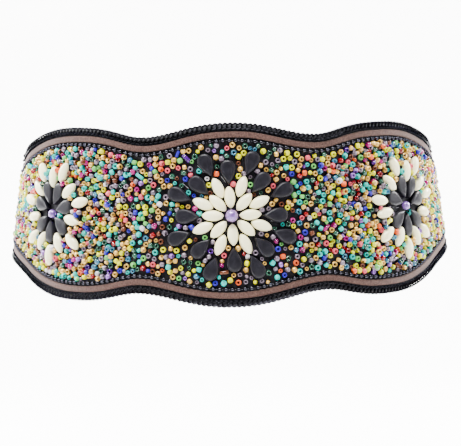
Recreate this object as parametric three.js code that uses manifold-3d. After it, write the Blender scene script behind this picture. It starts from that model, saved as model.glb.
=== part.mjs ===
// Beaded belt. A scalloped front panel of black leather is edged with chain, suede lace and ball chain,
// and set with one large flower of stones and a smaller flower at each side. Two elastic bands sewn
// behind its ends meet at a plain clasp at the back.
//
// Millimetres, as worn: the front faces -Y, +X is the right of the front view and +Z is up. The origin
// is the middle of the waist, at half the belt's height.
//
// A place on the belt has three coordinates: s runs round the loop from the middle of the front, z is
// the height, and out is the distance from the panel's front face, positive away from the waist.

import * as THREE from 'three';
import { mergeVertices } from 'three/addons/utils/BufferGeometryUtils.js';
import Module from 'manifold-3d';

// Clearance between pieces that touch on the real belt
const TOUCH_GAP = 0.3;
// Vertices nearer than this are one
const MERGE_WITHIN = 1e-4;

// Loop round the waist at half height: a front arc, a tighter arc at each side, a flatter arc behind
const FRONT_RADIUS = 124;
const FRONT_ARC_DEG = 88;
const SIDE_RADIUS_LESS = 46;
const BACK_RADIUS_MORE = 72;
// How far the panel leans out for each millimetre down, as the belt widens towards the hips
const FRONT_FLARE = 0.107;
const SIDE_FLARE = 0.065;
const END_FLARE = 0.145;

// Front panel
const PANEL_THICKNESS = 2;
const PANEL_INSET = 0.6;
const LENGTH_STEPS = 44;

// Trims along both long edges, from the outer edge inwards
const CURB_WIDTH = 4.5;
const CURB_THICKNESS = 2.2;
const CURB_TO_SUEDE = 0.5;
const SUEDE_WIDTH = 3.3;
const SUEDE_THICKNESS = 1.5;
const SUEDE_TO_BALLS = 0.4;
const BALL_DIAMETER = 2.4;
const TUBE_SIDES = 8;

// Stones
const CREAM_LENGTH = 12;
const CREAM_WIDTH = 5.9;
const CREAM_HEIGHT = 3.7;
const CREAM_NARROWING = 1.3;
const BLACK_LENGTH = 13.2;
const BLACK_WIDTH = 8;
const BLACK_HEIGHT = 3.6;
const BLACK_BEVEL = 0.8;
const CENTRE_PEARL = 6.8;
const SIDE_PEARL = 4.8;
const STONE_SIDES = 12;
const SIDE_BLACK_SIDES = 10;
const SIDE_CREAM_SIDES = 8;
const PEARL_ROWS = 7;

// Centre flower, from the pearl outwards
const CENTRE_PETALS = 8;
const CENTRE_TURN_DEG = 91.5;
const PEARL_TO_CREAM = 0.7;
const CREAM_RING_STEP = 6.6;
const CREAM_TO_BLACK = 0.9;
const CENTRE_FIELD_MARGIN = 2;

// Side flowers, from the pearl outwards
const SIDE_PETALS = 7;
const SIDE_TURN_DEG = 113;
const PEARL_TO_PETAL = 2.15;
const PETAL_TO_CREAM = 0.8;
const SIDE_FIELD_MARGIN = 6.4;
const FLOWER_SPACING = 44.6;

// Thin beds that hold the stones of a side flower together, the one under the ovals a little thicker
const BED_THICKNESS = 0.7;
const OVAL_RAISE = 1;
const BED_SUNK = 0.2;
const PETAL_BED_WIDTH = 4.5;
const BED_TO_OVAL_TIP = 0.4;
const CREAM_BED_WIDTH = 5;

// Scalloped outline
const VALLEY_DROP = 7.25;
const VALLEY_PAST_FLOWER = 13.2;
const CREST_BEFORE_FLOWER = 17;
const END_PAST_FLOWER = 44.5;
const END_PAST_ELASTIC = 5;
// How late each slope of the outline falls: above 1, it stays high for longer
const CENTRE_FALL = 1.15;
const CREST_INNER_FALL = 1.5;
const CREST_OUTER_FALL = 1.05;

// Elastic bands and the clasp at the back
const ELASTIC_WIDTH = 50;
const ELASTIC_THICKNESS = 1.5;
const ELASTIC_OVERLAP = 14;
const ELASTIC_TURN_BACK = 18;
const BAND_RUN_STEPS = 30;
const BAND_LOOP_STEPS = 6;
const CLASP_THICKNESS = 2.5;
const CLASP_BAR = 4;
const CLASP_MIDDLE = 26;
const CLASP_FRAME = 3;
const CLASP_CORNER = 2;
const CORNER_STEPS = 3;
const SLOT_EASE = 0.75;
const SLOT_END_EASE = 0.5;

// How far each stone of the centre flower is set off even spacing, in degrees, from the top
// anticlockwise. The outer rings lie half a space further round.
const CENTRE_SETTING = [
  { creamInner: 3, creamOuter: 1, blackInner: 2, blackOuter: 1.5 },
  { creamInner: 0, creamOuter: -2.5, blackInner: 0, blackOuter: -1 },
  { creamInner: -3, creamOuter: -2, blackInner: -1.5, blackOuter: -2.5 },
  { creamInner: -1, creamOuter: -1, blackInner: -0.5, blackOuter: 0 },
  { creamInner: 1, creamOuter: 1, blackInner: 0.5, blackOuter: 0 },
  { creamInner: 2, creamOuter: 2, blackInner: -2, blackOuter: -1 },
  { creamInner: 1, creamOuter: 1, blackInner: -2, blackOuter: 0.5 },
  { creamInner: 0.5, creamOuter: 1, blackInner: 1, blackOuter: -0.5 },
];

// The same for each black petal of the side flowers, for the oval that follows it and for the oval
// beyond it. These two are also set a little further out or in.
const SIDE_SETTING = {
  left: [
    { petal: -2, next: 1, nextOut: 0.4, beyond: 4.5, beyondOut: -0.6 },
    { petal: -2.5, next: 1.5, nextOut: 0.8, beyond: 5, beyondOut: 0.6 },
    { petal: 1, next: 0.5, nextOut: 0.8, beyond: 1, beyondOut: 0.2 },
    { petal: -2.5, next: 0, nextOut: 0, beyond: 2.5, beyondOut: -0.2 },
    { petal: 1.5, next: 0, nextOut: -0.6, beyond: -1, beyondOut: -0.2 },
    { petal: 3, next: 1, nextOut: 0.4, beyond: 1, beyondOut: -0.4 },
    { petal: 2.5, next: 0.5, nextOut: 1, beyond: 2.5, beyondOut: -0.4 },
  ],
  right: [
    { petal: -6, next: 3, nextOut: 0.8, beyond: 4.5, beyondOut: -0.6 },
    { petal: -5, next: -0.5, nextOut: 1.2, beyond: 10, beyondOut: -1.2 },
    { petal: 3, next: -0.5, nextOut: 0.6, beyond: -0.5, beyondOut: -0.4 },
    { petal: 0, next: 1, nextOut: 0.6, beyond: 0, beyondOut: -0.4 },
    { petal: -2, next: 0.5, nextOut: 0.6, beyond: 2, beyondOut: -0.4 },
    { petal: 3, next: 0, nextOut: 0.6, beyond: -0.5, beyondOut: -0.4 },
    { petal: -1, next: 0, nextOut: 0.8, beyond: 1.5, beyondOut: -0.4 },
  ],
};

// Sizes that follow from the ones above
const CREAM_INNER_RADIUS = CENTRE_PEARL / 2 + PEARL_TO_CREAM + CREAM_LENGTH / 2;
const CREAM_OUTER_RADIUS = CREAM_INNER_RADIUS + CREAM_RING_STEP;
const CREAM_TO_BLACK_CENTRES = CREAM_LENGTH / 2 + CREAM_TO_BLACK + BLACK_LENGTH / 2;
const BLACK_INNER_RADIUS = CREAM_INNER_RADIUS + CREAM_TO_BLACK_CENTRES;
const BLACK_OUTER_RADIUS = CREAM_OUTER_RADIUS + CREAM_TO_BLACK_CENTRES;
const CENTRE_REACH = BLACK_OUTER_RADIUS + BLACK_LENGTH / 2;

const PETAL_RADIUS = SIDE_PEARL / 2 + PEARL_TO_PETAL + BLACK_LENGTH / 2;
const PETAL_REACH = PETAL_RADIUS + BLACK_LENGTH / 2;
const SIDE_CREAM_INNER_RADIUS = PETAL_REACH + PETAL_TO_CREAM;
const SIDE_CREAM_OUTER_RADIUS = PETAL_REACH + PETAL_TO_CREAM + CREAM_LENGTH / 2;
const SIDE_REACH = SIDE_CREAM_OUTER_RADIUS + CREAM_LENGTH / 2;
const SIDE_FLOWER_PLACE = CENTRE_REACH + FLOWER_SPACING + SIDE_REACH;

// Each flower's middle: its even place, and how far the maker set it off that
const CENTRE_PLACE = { s: 0.4, z: -0.65 };
const LEFT_PLACE = { s: -SIDE_FLOWER_PLACE - 1, z: 0.3 };
const RIGHT_PLACE = { s: SIDE_FLOWER_PLACE, z: -0.4 };
const LEFT_PEARL_PLACE = { s: LEFT_PLACE.s + 0.5, z: LEFT_PLACE.z - 1.2 };
const RIGHT_PEARL_PLACE = { s: RIGHT_PLACE.s - 1, z: RIGHT_PLACE.z - 0.2 };

const CURB_MIDDLE = CURB_WIDTH / 2;
const SUEDE_MIDDLE = CURB_WIDTH + CURB_TO_SUEDE + SUEDE_WIDTH / 2;
const BALLS_MIDDLE = SUEDE_MIDDLE + SUEDE_WIDTH / 2 + SUEDE_TO_BALLS + BALL_DIAMETER / 2;
const TRIMS_WIDTH = BALLS_MIDDLE + BALL_DIAMETER / 2;

const CENTRE_HALF_HEIGHT = CENTRE_REACH + CENTRE_FIELD_MARGIN + TRIMS_WIDTH;
const VALLEY_HALF_HEIGHT = CENTRE_HALF_HEIGHT - VALLEY_DROP;
const CREST_HALF_HEIGHT = SIDE_REACH + SIDE_FIELD_MARGIN + TRIMS_WIDTH;
const END_HALF_HEIGHT = ELASTIC_WIDTH / 2 + END_PAST_ELASTIC;
const VALLEY_PLACE = CENTRE_REACH + VALLEY_PAST_FLOWER;
const CREST_PLACE = SIDE_FLOWER_PLACE - CREST_BEFORE_FLOWER;
const PANEL_HALF_LENGTH = SIDE_FLOWER_PLACE + SIDE_REACH + END_PAST_FLOWER;
const BAND_OUT = -(PANEL_THICKNESS + TOUCH_GAP + ELASTIC_THICKNESS / 2);
const LOOP_RADIUS = CLASP_THICKNESS / 2 + TOUCH_GAP + ELASTIC_THICKNESS / 2;
const CLASP_OUT = BAND_OUT - LOOP_RADIUS;
const CLASP_SLOT = LOOP_RADIUS + ELASTIC_THICKNESS / 2 + SLOT_EASE;
const SLOT_HEIGHT = ELASTIC_WIDTH + 2 * SLOT_END_EASE;
const CLASP_LENGTH = CLASP_MIDDLE + 2 * (CLASP_SLOT + CLASP_BAR);
const CLASP_HEIGHT = SLOT_HEIGHT + 2 * CLASP_FRAME;

const wasm = await Module();
wasm.setup();

const COLOURS = {
  leather: { color: '#17151a', roughness: 0.75, metalness: 0 },
  lacqueredChain: { color: '#0c0b0d', roughness: 0.25, metalness: 0.6 },
  suede: { color: '#84685c', roughness: 0.95, metalness: 0 },
  creamStone: { color: '#f1efe2', roughness: 0.35, metalness: 0 },
  blackStone: { color: '#2e2c33', roughness: 0.55, metalness: 0 },
  pearl: { color: '#a98bc2', roughness: 0.2, metalness: 0 },
  elastic: { color: '#141316', roughness: 0.9, metalness: 0 },
  clasp: { color: '#1b1a1c', roughness: 0.35, metalness: 0.8 },
};

// The half loop as arcs, each with its turn measured from the front, then the clasp's straight stretch
function loopArcs() {
  const frontTurn = THREE.MathUtils.degToRad(FRONT_ARC_DEG);
  const sideRadius = FRONT_RADIUS - SIDE_RADIUS_LESS;
  const backRadius = sideRadius + BACK_RADIUS_MORE;
  const backSine = (SIDE_RADIUS_LESS * Math.sin(frontTurn) - CLASP_LENGTH / 2) / BACK_RADIUS_MORE;
  const sideTurn = Math.PI - Math.asin(backSine);
  const sideCentre = outwardAt(frontTurn).multiplyScalar(SIDE_RADIUS_LESS);
  const backCentre = sideCentre.clone().addScaledVector(outwardAt(sideTurn), -BACK_RADIUS_MORE);
  return [
    { radius: FRONT_RADIUS, centre: new THREE.Vector2(), from: 0, to: frontTurn },
    { radius: sideRadius, centre: sideCentre, from: frontTurn, to: sideTurn },
    { radius: backRadius, centre: backCentre, from: sideTurn, to: Math.PI },
  ];
}

function outwardAt(turn) {
  return new THREE.Vector2(Math.sin(turn), -Math.cos(turn));
}

const LOOP_ARCS = loopArcs();
const ARCS_LENGTH = LOOP_ARCS.reduce((sum, arc) => sum + arc.radius * (arc.to - arc.from), 0);
const HALF_LOOP = ARCS_LENGTH + CLASP_LENGTH / 2;

// The loop's point, outward direction and direction of travel at s, in plan
function loopFrame(s) {
  const side = s < 0 ? -1 : 1;
  let rest = Math.abs(s);
  let turn = Math.PI;
  let point = null;
  for (const arc of LOOP_ARCS) {
    const length = arc.radius * (arc.to - arc.from);
    if (rest <= length) {
      turn = arc.from + rest / arc.radius;
      point = arc.centre.clone().addScaledVector(outwardAt(turn), arc.radius);
      break;
    }
    rest -= length;
  }
  const outward = outwardAt(turn);
  const travel = new THREE.Vector2(-outward.y, outward.x);
  if (point === null) {
    const last = LOOP_ARCS[LOOP_ARCS.length - 1];
    point = last.centre.clone().addScaledVector(outward, last.radius).addScaledVector(travel, rest);
  }
  return {
    point: new THREE.Vector2(side * point.x, point.y),
    outward: new THREE.Vector2(side * outward.x, outward.y),
    travel: new THREE.Vector2(travel.x, side * travel.y),
  };
}

// The panel leans by the flare, and the bands behind it ease upright before they reach the clasp
function leanAt(s) {
  const place = Math.abs(s);
  const upright = HALF_LOOP - CLASP_LENGTH / 2 - ELASTIC_TURN_BACK;
  const flowerEnd = SIDE_FLOWER_PLACE + SIDE_REACH;
  const sideShare = THREE.MathUtils.smoothstep(place, CENTRE_REACH, flowerEnd);
  const endShare = THREE.MathUtils.smoothstep(place, flowerEnd, PANEL_HALF_LENGTH - ELASTIC_OVERLAP);
  const sideFlare = THREE.MathUtils.lerp(FRONT_FLARE, SIDE_FLARE, sideShare);
  const flare = THREE.MathUtils.lerp(sideFlare, END_FLARE, endShare);
  return flare * (1 - THREE.MathUtils.smoothstep(place, PANEL_HALF_LENGTH, upright));
}

function beltPoint(s, z, out) {
  const frame = loopFrame(s);
  const reach = out - leanAt(s) * z;
  return new THREE.Vector3(
    frame.point.x + frame.outward.x * reach,
    frame.point.y + frame.outward.y * reach,
    z,
  );
}

// Half the height of the belt, to the outer edge of its chains
function edgeHalfHeight(s) {
  const place = Math.abs(s);
  const centre = CENTRE_HALF_HEIGHT;
  const valley = VALLEY_HALF_HEIGHT;
  const crest = CREST_HALF_HEIGHT;
  const end = END_HALF_HEIGHT;
  const spans = [
    { from: 0, to: VALLEY_PLACE, high: centre, low: valley, power: CENTRE_FALL },
    { from: CREST_PLACE, to: VALLEY_PLACE, high: crest, low: valley, power: CREST_INNER_FALL },
    { from: CREST_PLACE, to: PANEL_HALF_LENGTH, high: crest, low: end, power: CREST_OUTER_FALL },
  ];
  const index = place < VALLEY_PLACE ? 0 : place < CREST_PLACE ? 1 : 2;
  const span = spans[index];
  const share = THREE.MathUtils.clamp((place - span.from) / (span.to - span.from), 0, 1);
  const fall = (1 - Math.cos(Math.PI * share ** span.power)) / 2;
  return span.high + (span.low - span.high) * fall;
}

// Moves every vertex of a geometry to place(x, y, z)
function reshape(geometry, place) {
  const position = geometry.getAttribute('position');
  for (let i = 0; i < position.count; i += 1) {
    const moved = place(position.getX(i), position.getY(i), position.getZ(i));
    position.setXYZ(i, moved.x, moved.y, moved.z);
  }
  return closed(geometry);
}

// Joins vertices that share a place, so the mesh is watertight
function closed(geometry) {
  geometry.deleteAttribute('normal');
  geometry.deleteAttribute('uv');
  const joined = mergeVertices(geometry, MERGE_WITHIN);
  joined.computeVertexNormals();
  return joined;
}

// The mirror image in the plane through the middle of the front
function mirrored(geometry) {
  const copy = geometry.clone();
  copy.scale(-1, 1, 1);
  const index = copy.index.array;
  for (let i = 0; i < index.length; i += 3) {
    [index[i + 1], index[i + 2]] = [index[i + 2], index[i + 1]];
  }
  copy.computeVertexNormals();
  return copy;
}

function named(name, geometry, finish) {
  const mesh = new THREE.Mesh(geometry, new THREE.MeshStandardMaterial(finish));
  mesh.name = name;
  return mesh;
}

// Front panel: one piece of leather, cut to the scalloped outline
function frontPanel() {
  const box = new THREE.BoxGeometry(2 * PANEL_HALF_LENGTH, 2, PANEL_THICKNESS, LENGTH_STEPS, 1, 1);
  const geometry = reshape(box, (s, share, depth) => {
    const z = share * (edgeHalfHeight(s) - PANEL_INSET);
    return beltPoint(s, z, depth - PANEL_THICKNESS / 2);
  });
  return named('front_panel', geometry, COLOURS.leather);
}

// A section that runs along the top edge (side 1) or the bottom edge (side -1) of the panel
function alongEdge(section, side, inFromEdge, outMiddle) {
  return reshape(section, (s, up, depth) => {
    const z = side * (edgeHalfHeight(s) - inFromEdge) + up;
    return beltPoint(s, z, outMiddle + depth);
  });
}

// A chain's outer form: a tube with eight sides and flats towards the panel
function chainTube(width, thickness) {
  const cornerReach = 1 / Math.cos(Math.PI / TUBE_SIDES);
  const length = 2 * PANEL_HALF_LENGTH;
  const tube = new THREE.CylinderGeometry(
    cornerReach / 2,
    cornerReach / 2,
    length,
    TUBE_SIDES,
    LENGTH_STEPS,
    false,
    Math.PI / TUBE_SIDES,
  );
  tube.rotateZ(Math.PI / 2);
  tube.scale(1, width, thickness);
  return tube;
}

function edgeTrims(edge, side) {
  const curb = alongEdge(
    chainTube(CURB_WIDTH, CURB_THICKNESS),
    side,
    CURB_MIDDLE,
    TOUCH_GAP + CURB_THICKNESS / 2,
  );
  const lace = alongEdge(
    new THREE.BoxGeometry(2 * PANEL_HALF_LENGTH, SUEDE_WIDTH, SUEDE_THICKNESS, LENGTH_STEPS, 1, 1),
    side,
    SUEDE_MIDDLE,
    TOUCH_GAP + SUEDE_THICKNESS / 2,
  );
  const balls = alongEdge(
    chainTube(BALL_DIAMETER, BALL_DIAMETER),
    side,
    BALLS_MIDDLE,
    TOUCH_GAP + BALL_DIAMETER / 2,
  );
  return [
    named(`curb_chain_${edge}`, curb, COLOURS.lacqueredChain),
    named(`suede_strip_${edge}`, lace, COLOURS.suede),
    named(`ball_chain_${edge}`, balls, COLOURS.lacqueredChain),
  ];
}

// Where a stone sits: its own y points along the belt at angle turnDeg from the direction of s, and
// its own z points out of the belt
function seatMatrix(s, z, lift, turnDeg) {
  const frame = loopFrame(s);
  const lean = leanAt(s);
  const along = new THREE.Vector3(frame.travel.x, frame.travel.y, 0);
  const outward = new THREE.Vector3(frame.outward.x, frame.outward.y, lean).normalize();
  const up = new THREE.Vector3().crossVectors(outward, along);
  const place = beltPoint(s, z, 0).addScaledVector(outward, lift);
  const turn = new THREE.Matrix4().makeRotationZ(THREE.MathUtils.degToRad(turnDeg - 90));
  return new THREE.Matrix4().makeBasis(along, up, outward).setPosition(place).multiply(turn);
}

// A stone set in a ring round a flower, pointing away from the flower's middle
function ringSeat(flower, radius, angleDeg, lift) {
  const angle = THREE.MathUtils.degToRad(angleDeg);
  return seatMatrix(
    flower.s + radius * Math.cos(angle),
    flower.z + radius * Math.sin(angle),
    lift,
    angleDeg,
  );
}

// Outline of an oval that narrows to a blunt tip at each end
function ovalOutline(turn) {
  const sine = Math.sin(turn);
  const across = (CREAM_WIDTH / 2) * Math.sign(sine) * Math.abs(sine) ** CREAM_NARROWING;
  return { along: (CREAM_LENGTH / 2) * Math.cos(turn), across };
}

// Outline of a teardrop whose tip is at its inner end
function teardropOutline(turn) {
  const widest = Math.acos(1 / 3);
  const widestShare = Math.sin(widest) * Math.cos(widest / 2);
  const across = (Math.sin(turn) * Math.abs(Math.cos(turn / 2))) / widestShare;
  return { along: (BLACK_LENGTH / 2) * Math.cos(turn), across: (BLACK_WIDTH / 2) * across };
}

// A stone from its outline and its profile, whose rows give the share of the outline and the height
function stoneGeometry(outline, profile, sides) {
  const points = profile.map((row) => new THREE.Vector2(row.share, row.height));
  const round = new THREE.LatheGeometry(points, sides);
  round.rotateX(Math.PI / 2);
  return reshape(round, (x, y, z) => {
    const share = Math.hypot(x, y);
    const edge = outline(Math.atan2(x, y));
    return new THREE.Vector3(edge.across * share, edge.along * share, z);
  });
}

function creamStone(sides) {
  const profile = [
    { share: 0, height: 0 },
    { share: 1, height: 0 },
    { share: 0.86, height: 0.62 * CREAM_HEIGHT },
    { share: 0.46, height: 0.93 * CREAM_HEIGHT },
    { share: 0, height: CREAM_HEIGHT },
  ];
  return stoneGeometry(ovalOutline, profile, sides);
}

function blackStone(sides) {
  const profile = [
    { share: 0, height: 0 },
    { share: 1, height: 0 },
    { share: 1, height: BLACK_HEIGHT - BLACK_BEVEL },
    { share: 1 - (2 * BLACK_BEVEL) / BLACK_WIDTH, height: BLACK_HEIGHT },
    { share: 0, height: BLACK_HEIGHT },
  ];
  return stoneGeometry(teardropOutline, profile, sides);
}

function pearl(name, diameter, flower) {
  const geometry = closed(new THREE.SphereGeometry(diameter / 2, STONE_SIDES, PEARL_ROWS));
  const mesh = named(name, geometry, COLOURS.pearl);
  mesh.applyMatrix4(seatMatrix(flower.s, flower.z, TOUCH_GAP + diameter / 2, 90));
  return mesh;
}

// The large flower: a pearl, two rings of cream ovals and two rings of black teardrops
function centreFlower() {
  const rings = [
    { name: 'cream_inner', column: 'creamInner', radius: CREAM_INNER_RADIUS, between: 0, cream: true },
    { name: 'cream_outer', column: 'creamOuter', radius: CREAM_OUTER_RADIUS, between: 0.5, cream: true },
    { name: 'black_inner', column: 'blackInner', radius: BLACK_INNER_RADIUS, between: 0, cream: false },
    { name: 'black_outer', column: 'blackOuter', radius: BLACK_OUTER_RADIUS, between: 0.5, cream: false },
  ];
  const flower = new THREE.Group();
  flower.add(pearl('centre_pearl', CENTRE_PEARL, CENTRE_PLACE));
  for (const ring of rings) {
    for (let i = 0; i < CENTRE_PETALS; i += 1) {
      const setting = CENTRE_SETTING[i % CENTRE_SETTING.length][ring.column];
      const angle = CENTRE_TURN_DEG + (360 / CENTRE_PETALS) * (i + ring.between) + setting;
      const geometry = ring.cream ? creamStone(STONE_SIDES) : blackStone(STONE_SIDES);
      const finish = ring.cream ? COLOURS.creamStone : COLOURS.blackStone;
      const stone = named(`${ring.name}_${i + 1}`, geometry, finish);
      stone.applyMatrix4(ringSeat(CENTRE_PLACE, ring.radius, angle, TOUCH_GAP));
      flower.add(stone);
    }
  }
  return flower;
}

function solidFrom(geometry) {
  return new wasm.Manifold(new wasm.Mesh({
    numProp: 3,
    vertProperties: new Float32Array(geometry.getAttribute('position').array),
    triVerts: new Uint32Array(geometry.index.array),
  }));
}

function geometryFrom(solid) {
  const mesh = solid.getMesh();
  const geometry = new THREE.BufferGeometry();
  geometry.setAttribute('position', new THREE.BufferAttribute(mesh.vertProperties, 3));
  geometry.setIndex(new THREE.BufferAttribute(mesh.triVerts, 1));
  geometry.computeVertexNormals();
  return geometry;
}

// A thin ring under the stones of a side flower, which follows the panel
function stoneBed(place, innerRadius, width, thickness) {
  const profile = [
    new THREE.Vector2(innerRadius, 0),
    new THREE.Vector2(innerRadius + width, 0),
    new THREE.Vector2(innerRadius + width, thickness),
    new THREE.Vector2(innerRadius, thickness),
    new THREE.Vector2(innerRadius, 0),
  ];
  const ring = new THREE.LatheGeometry(profile, 2 * SIDE_PETALS);
  ring.rotateX(Math.PI / 2);
  return reshape(ring, (x, y, z) => beltPoint(place.s + x, place.z + y, TOUCH_GAP + z));
}

// Stones joined to their bed as one body
function fusedStones(name, bed, stones, finish) {
  let solid = solidFrom(bed);
  for (const stone of stones) {
    solid = solid.add(solidFrom(stone));
  }
  return named(name, geometryFrom(solid), finish);
}

// A side flower: a pearl, black petals round it, and cream ovals between and beyond the petals
function sideFlower(name, place, pearlPlace) {
  const rows = SIDE_SETTING[name];
  const petalLift = TOUCH_GAP + BED_SUNK;
  const ovalLift = petalLift + OVAL_RAISE;
  const petalAngles = [];
  for (let i = 0; i < SIDE_PETALS; i += 1) {
    petalAngles.push(SIDE_TURN_DEG + (360 / SIDE_PETALS) * i + rows[i % rows.length].petal);
  }
  const petals = petalAngles.map((angle) => (
    blackStone(SIDE_BLACK_SIDES).applyMatrix4(ringSeat(place, PETAL_RADIUS, angle, petalLift))
  ));
  const ovals = [];
  petalAngles.forEach((angle, i) => {
    const row = rows[i % rows.length];
    const following = i + 1 < SIDE_PETALS ? petalAngles[i + 1] : petalAngles[0] + 360;
    const nextAngle = (angle + following) / 2 + row.next;
    const seats = [
      ringSeat(place, SIDE_CREAM_INNER_RADIUS + row.nextOut, nextAngle, ovalLift),
      ringSeat(place, SIDE_CREAM_OUTER_RADIUS + row.beyondOut, angle + row.beyond, ovalLift),
    ];
    for (const seat of seats) {
      ovals.push(creamStone(SIDE_CREAM_SIDES).applyMatrix4(seat));
    }
  });
  const ovalTip = SIDE_CREAM_INNER_RADIUS - CREAM_LENGTH / 2;
  const petalBedStart = ovalTip - BED_TO_OVAL_TIP - PETAL_BED_WIDTH;
  const petalBed = stoneBed(place, petalBedStart, PETAL_BED_WIDTH, BED_THICKNESS);
  const ovalBedStart = PETAL_REACH + PETAL_TO_CREAM;
  const ovalBed = stoneBed(place, ovalBedStart, CREAM_BED_WIDTH, BED_THICKNESS + OVAL_RAISE);
  const flower = new THREE.Group();
  flower.add(pearl(`${name}_pearl`, SIDE_PEARL, pearlPlace));
  flower.add(fusedStones(`${name}_flower_petals`, petalBed, petals, COLOURS.blackStone));
  flower.add(fusedStones(`${name}_flower_ovals`, ovalBed, ovals, COLOURS.creamStone));
  return flower;
}

// Route of an elastic band's middle, from behind the panel, round the clasp's bar and back. Each
// station gives the place, the distance out, and how far the band has turned over.
function bandRoute() {
  const barEnd = HALF_LOOP - CLASP_MIDDLE / 2 - CLASP_SLOT;
  const start = PANEL_HALF_LENGTH - ELASTIC_OVERLAP;
  const route = [];
  for (let i = 0; i < BAND_RUN_STEPS; i += 1) {
    route.push({ s: start + ((barEnd - start) * i) / BAND_RUN_STEPS, out: BAND_OUT, turn: 0 });
  }
  for (let i = 0; i <= BAND_LOOP_STEPS; i += 1) {
    const turn = (Math.PI * i) / BAND_LOOP_STEPS;
    route.push({
      s: barEnd + LOOP_RADIUS * Math.sin(turn),
      out: CLASP_OUT + LOOP_RADIUS * Math.cos(turn),
      turn,
    });
  }
  const sewnOut = BAND_OUT - ELASTIC_THICKNESS - TOUCH_GAP;
  const barStart = barEnd - CLASP_BAR;
  const sewnStart = barStart - ELASTIC_TURN_BACK / 2;
  route.push({ s: barStart, out: CLASP_OUT - LOOP_RADIUS, turn: Math.PI });
  route.push({ s: sewnStart, out: sewnOut, turn: Math.PI });
  route.push({ s: barStart - ELASTIC_TURN_BACK, out: sewnOut, turn: Math.PI });
  return route;
}

function elasticBands() {
  const route = bandRoute();
  const steps = route.length - 1;
  const strip = new THREE.BoxGeometry(steps, ELASTIC_WIDTH, ELASTIC_THICKNESS, steps, 1, 1);
  const right = reshape(strip, (x, z, depth) => {
    const station = route[Math.round(x + steps / 2)];
    return beltPoint(
      station.s + depth * Math.sin(station.turn),
      z,
      station.out + depth * Math.cos(station.turn),
    );
  });
  return [
    named('elastic_right', right, COLOURS.elastic),
    named('elastic_left', mirrored(right), COLOURS.elastic),
  ];
}

function roundedRectangle(width, height, corner) {
  const points = [];
  for (let quarter = 0; quarter < 4; quarter += 1) {
    const sideX = quarter === 0 || quarter === 3 ? 1 : -1;
    const sideY = quarter < 2 ? 1 : -1;
    for (let i = 0; i <= CORNER_STEPS; i += 1) {
      const turn = (Math.PI / 2) * (quarter + i / CORNER_STEPS);
      points.push(new THREE.Vector2(
        sideX * (width / 2 - corner) + corner * Math.cos(turn),
        sideY * (height / 2 - corner) + corner * Math.sin(turn),
      ));
    }
  }
  return new THREE.Shape(points);
}

// Clasp: one flat plate with a slot near each end, where an elastic band turns round the bar
function backClasp() {
  const outline = roundedRectangle(CLASP_LENGTH, CLASP_HEIGHT, CLASP_CORNER);
  const options = { depth: CLASP_THICKNESS, bevelEnabled: false };
  let plate = solidFrom(closed(new THREE.ExtrudeGeometry(outline, options)));
  for (const side of [-1, 1]) {
    const slot = new THREE.BoxGeometry(CLASP_SLOT, SLOT_HEIGHT, 3 * CLASP_THICKNESS);
    slot.translate(side * (CLASP_MIDDLE + CLASP_SLOT) / 2, 0, 0);
    plate = plate.subtract(solidFrom(closed(slot)));
  }
  const mesh = named('back_clasp', geometryFrom(plate), COLOURS.clasp);
  const outerFace = beltPoint(HALF_LOOP, 0, CLASP_OUT + CLASP_THICKNESS / 2);
  mesh.rotation.x = Math.PI / 2;
  mesh.position.set(0, outerFace.y, 0);
  return mesh;
}

const belt = new THREE.Group();
belt.add(frontPanel());
belt.add(...edgeTrims('top', 1), ...edgeTrims('bottom', -1));
belt.add(centreFlower());
belt.add(sideFlower('left', LEFT_PLACE, LEFT_PEARL_PLACE));
belt.add(sideFlower('right', RIGHT_PLACE, RIGHT_PEARL_PLACE));
belt.add(...elasticBands(), backClasp());

export default belt;
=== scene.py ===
"""Looks of a beaded waist belt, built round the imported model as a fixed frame.

Everything is in metres in the belt's own frame: the decorated front faces -Y, +X is the right of the
front view and +Z is up. A place on the belt is given by s, the way round the loop from the middle of
the front, by z, the height, and by out, the distance from the panel's front face.
"""

import logging
import math
from dataclasses import dataclass, field
from enum import Enum
from functools import cache
from typing import Callable

import bmesh
import bpy
import numpy as np
from mathutils import Matrix, Vector


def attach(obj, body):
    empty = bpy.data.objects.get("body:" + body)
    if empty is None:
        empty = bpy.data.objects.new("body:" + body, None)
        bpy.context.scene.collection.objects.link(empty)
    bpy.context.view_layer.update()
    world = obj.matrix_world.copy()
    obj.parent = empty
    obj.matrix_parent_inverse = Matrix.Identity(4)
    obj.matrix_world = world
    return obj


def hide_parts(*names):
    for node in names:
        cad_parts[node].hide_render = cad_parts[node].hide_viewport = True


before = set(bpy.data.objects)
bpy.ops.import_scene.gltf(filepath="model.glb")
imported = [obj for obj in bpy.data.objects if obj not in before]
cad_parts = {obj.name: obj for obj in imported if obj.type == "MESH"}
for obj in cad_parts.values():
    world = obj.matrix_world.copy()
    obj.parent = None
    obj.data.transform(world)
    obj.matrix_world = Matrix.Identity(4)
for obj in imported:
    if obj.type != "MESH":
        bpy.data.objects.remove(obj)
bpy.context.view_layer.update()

MM = 0.001
IMAGE_WIDTH = 461
FINE_STEPS = 2001
CORNER_STEPS = 3
LOG = logging.getLogger("beaded_belt")

Array = np.ndarray
Material = bpy.types.Material
Object = bpy.types.Object
Socket = bpy.types.NodeSocket
Tree = bpy.types.NodeTree
Faces = list[tuple[int, ...]]
Pair = tuple[float, float]
Triple = tuple[float, float, float]


def linear(hex_colour: str) -> tuple[float, float, float, float]:
    """Turn an sRGB hex colour into Blender's linear colour.

    Args:
        hex_colour: six hex digits after a hash sign.

    Returns:
        Linear red, green and blue, with alpha 1.
    """
    parts = [int(hex_colour[i:i + 2], 16) / 255 for i in (1, 3, 5)]
    rgb = [c / 12.92 if c <= 0.04045 else ((c + 0.055) / 1.055) ** 2.4 for c in parts]
    return (*rgb, 1.0)


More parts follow.
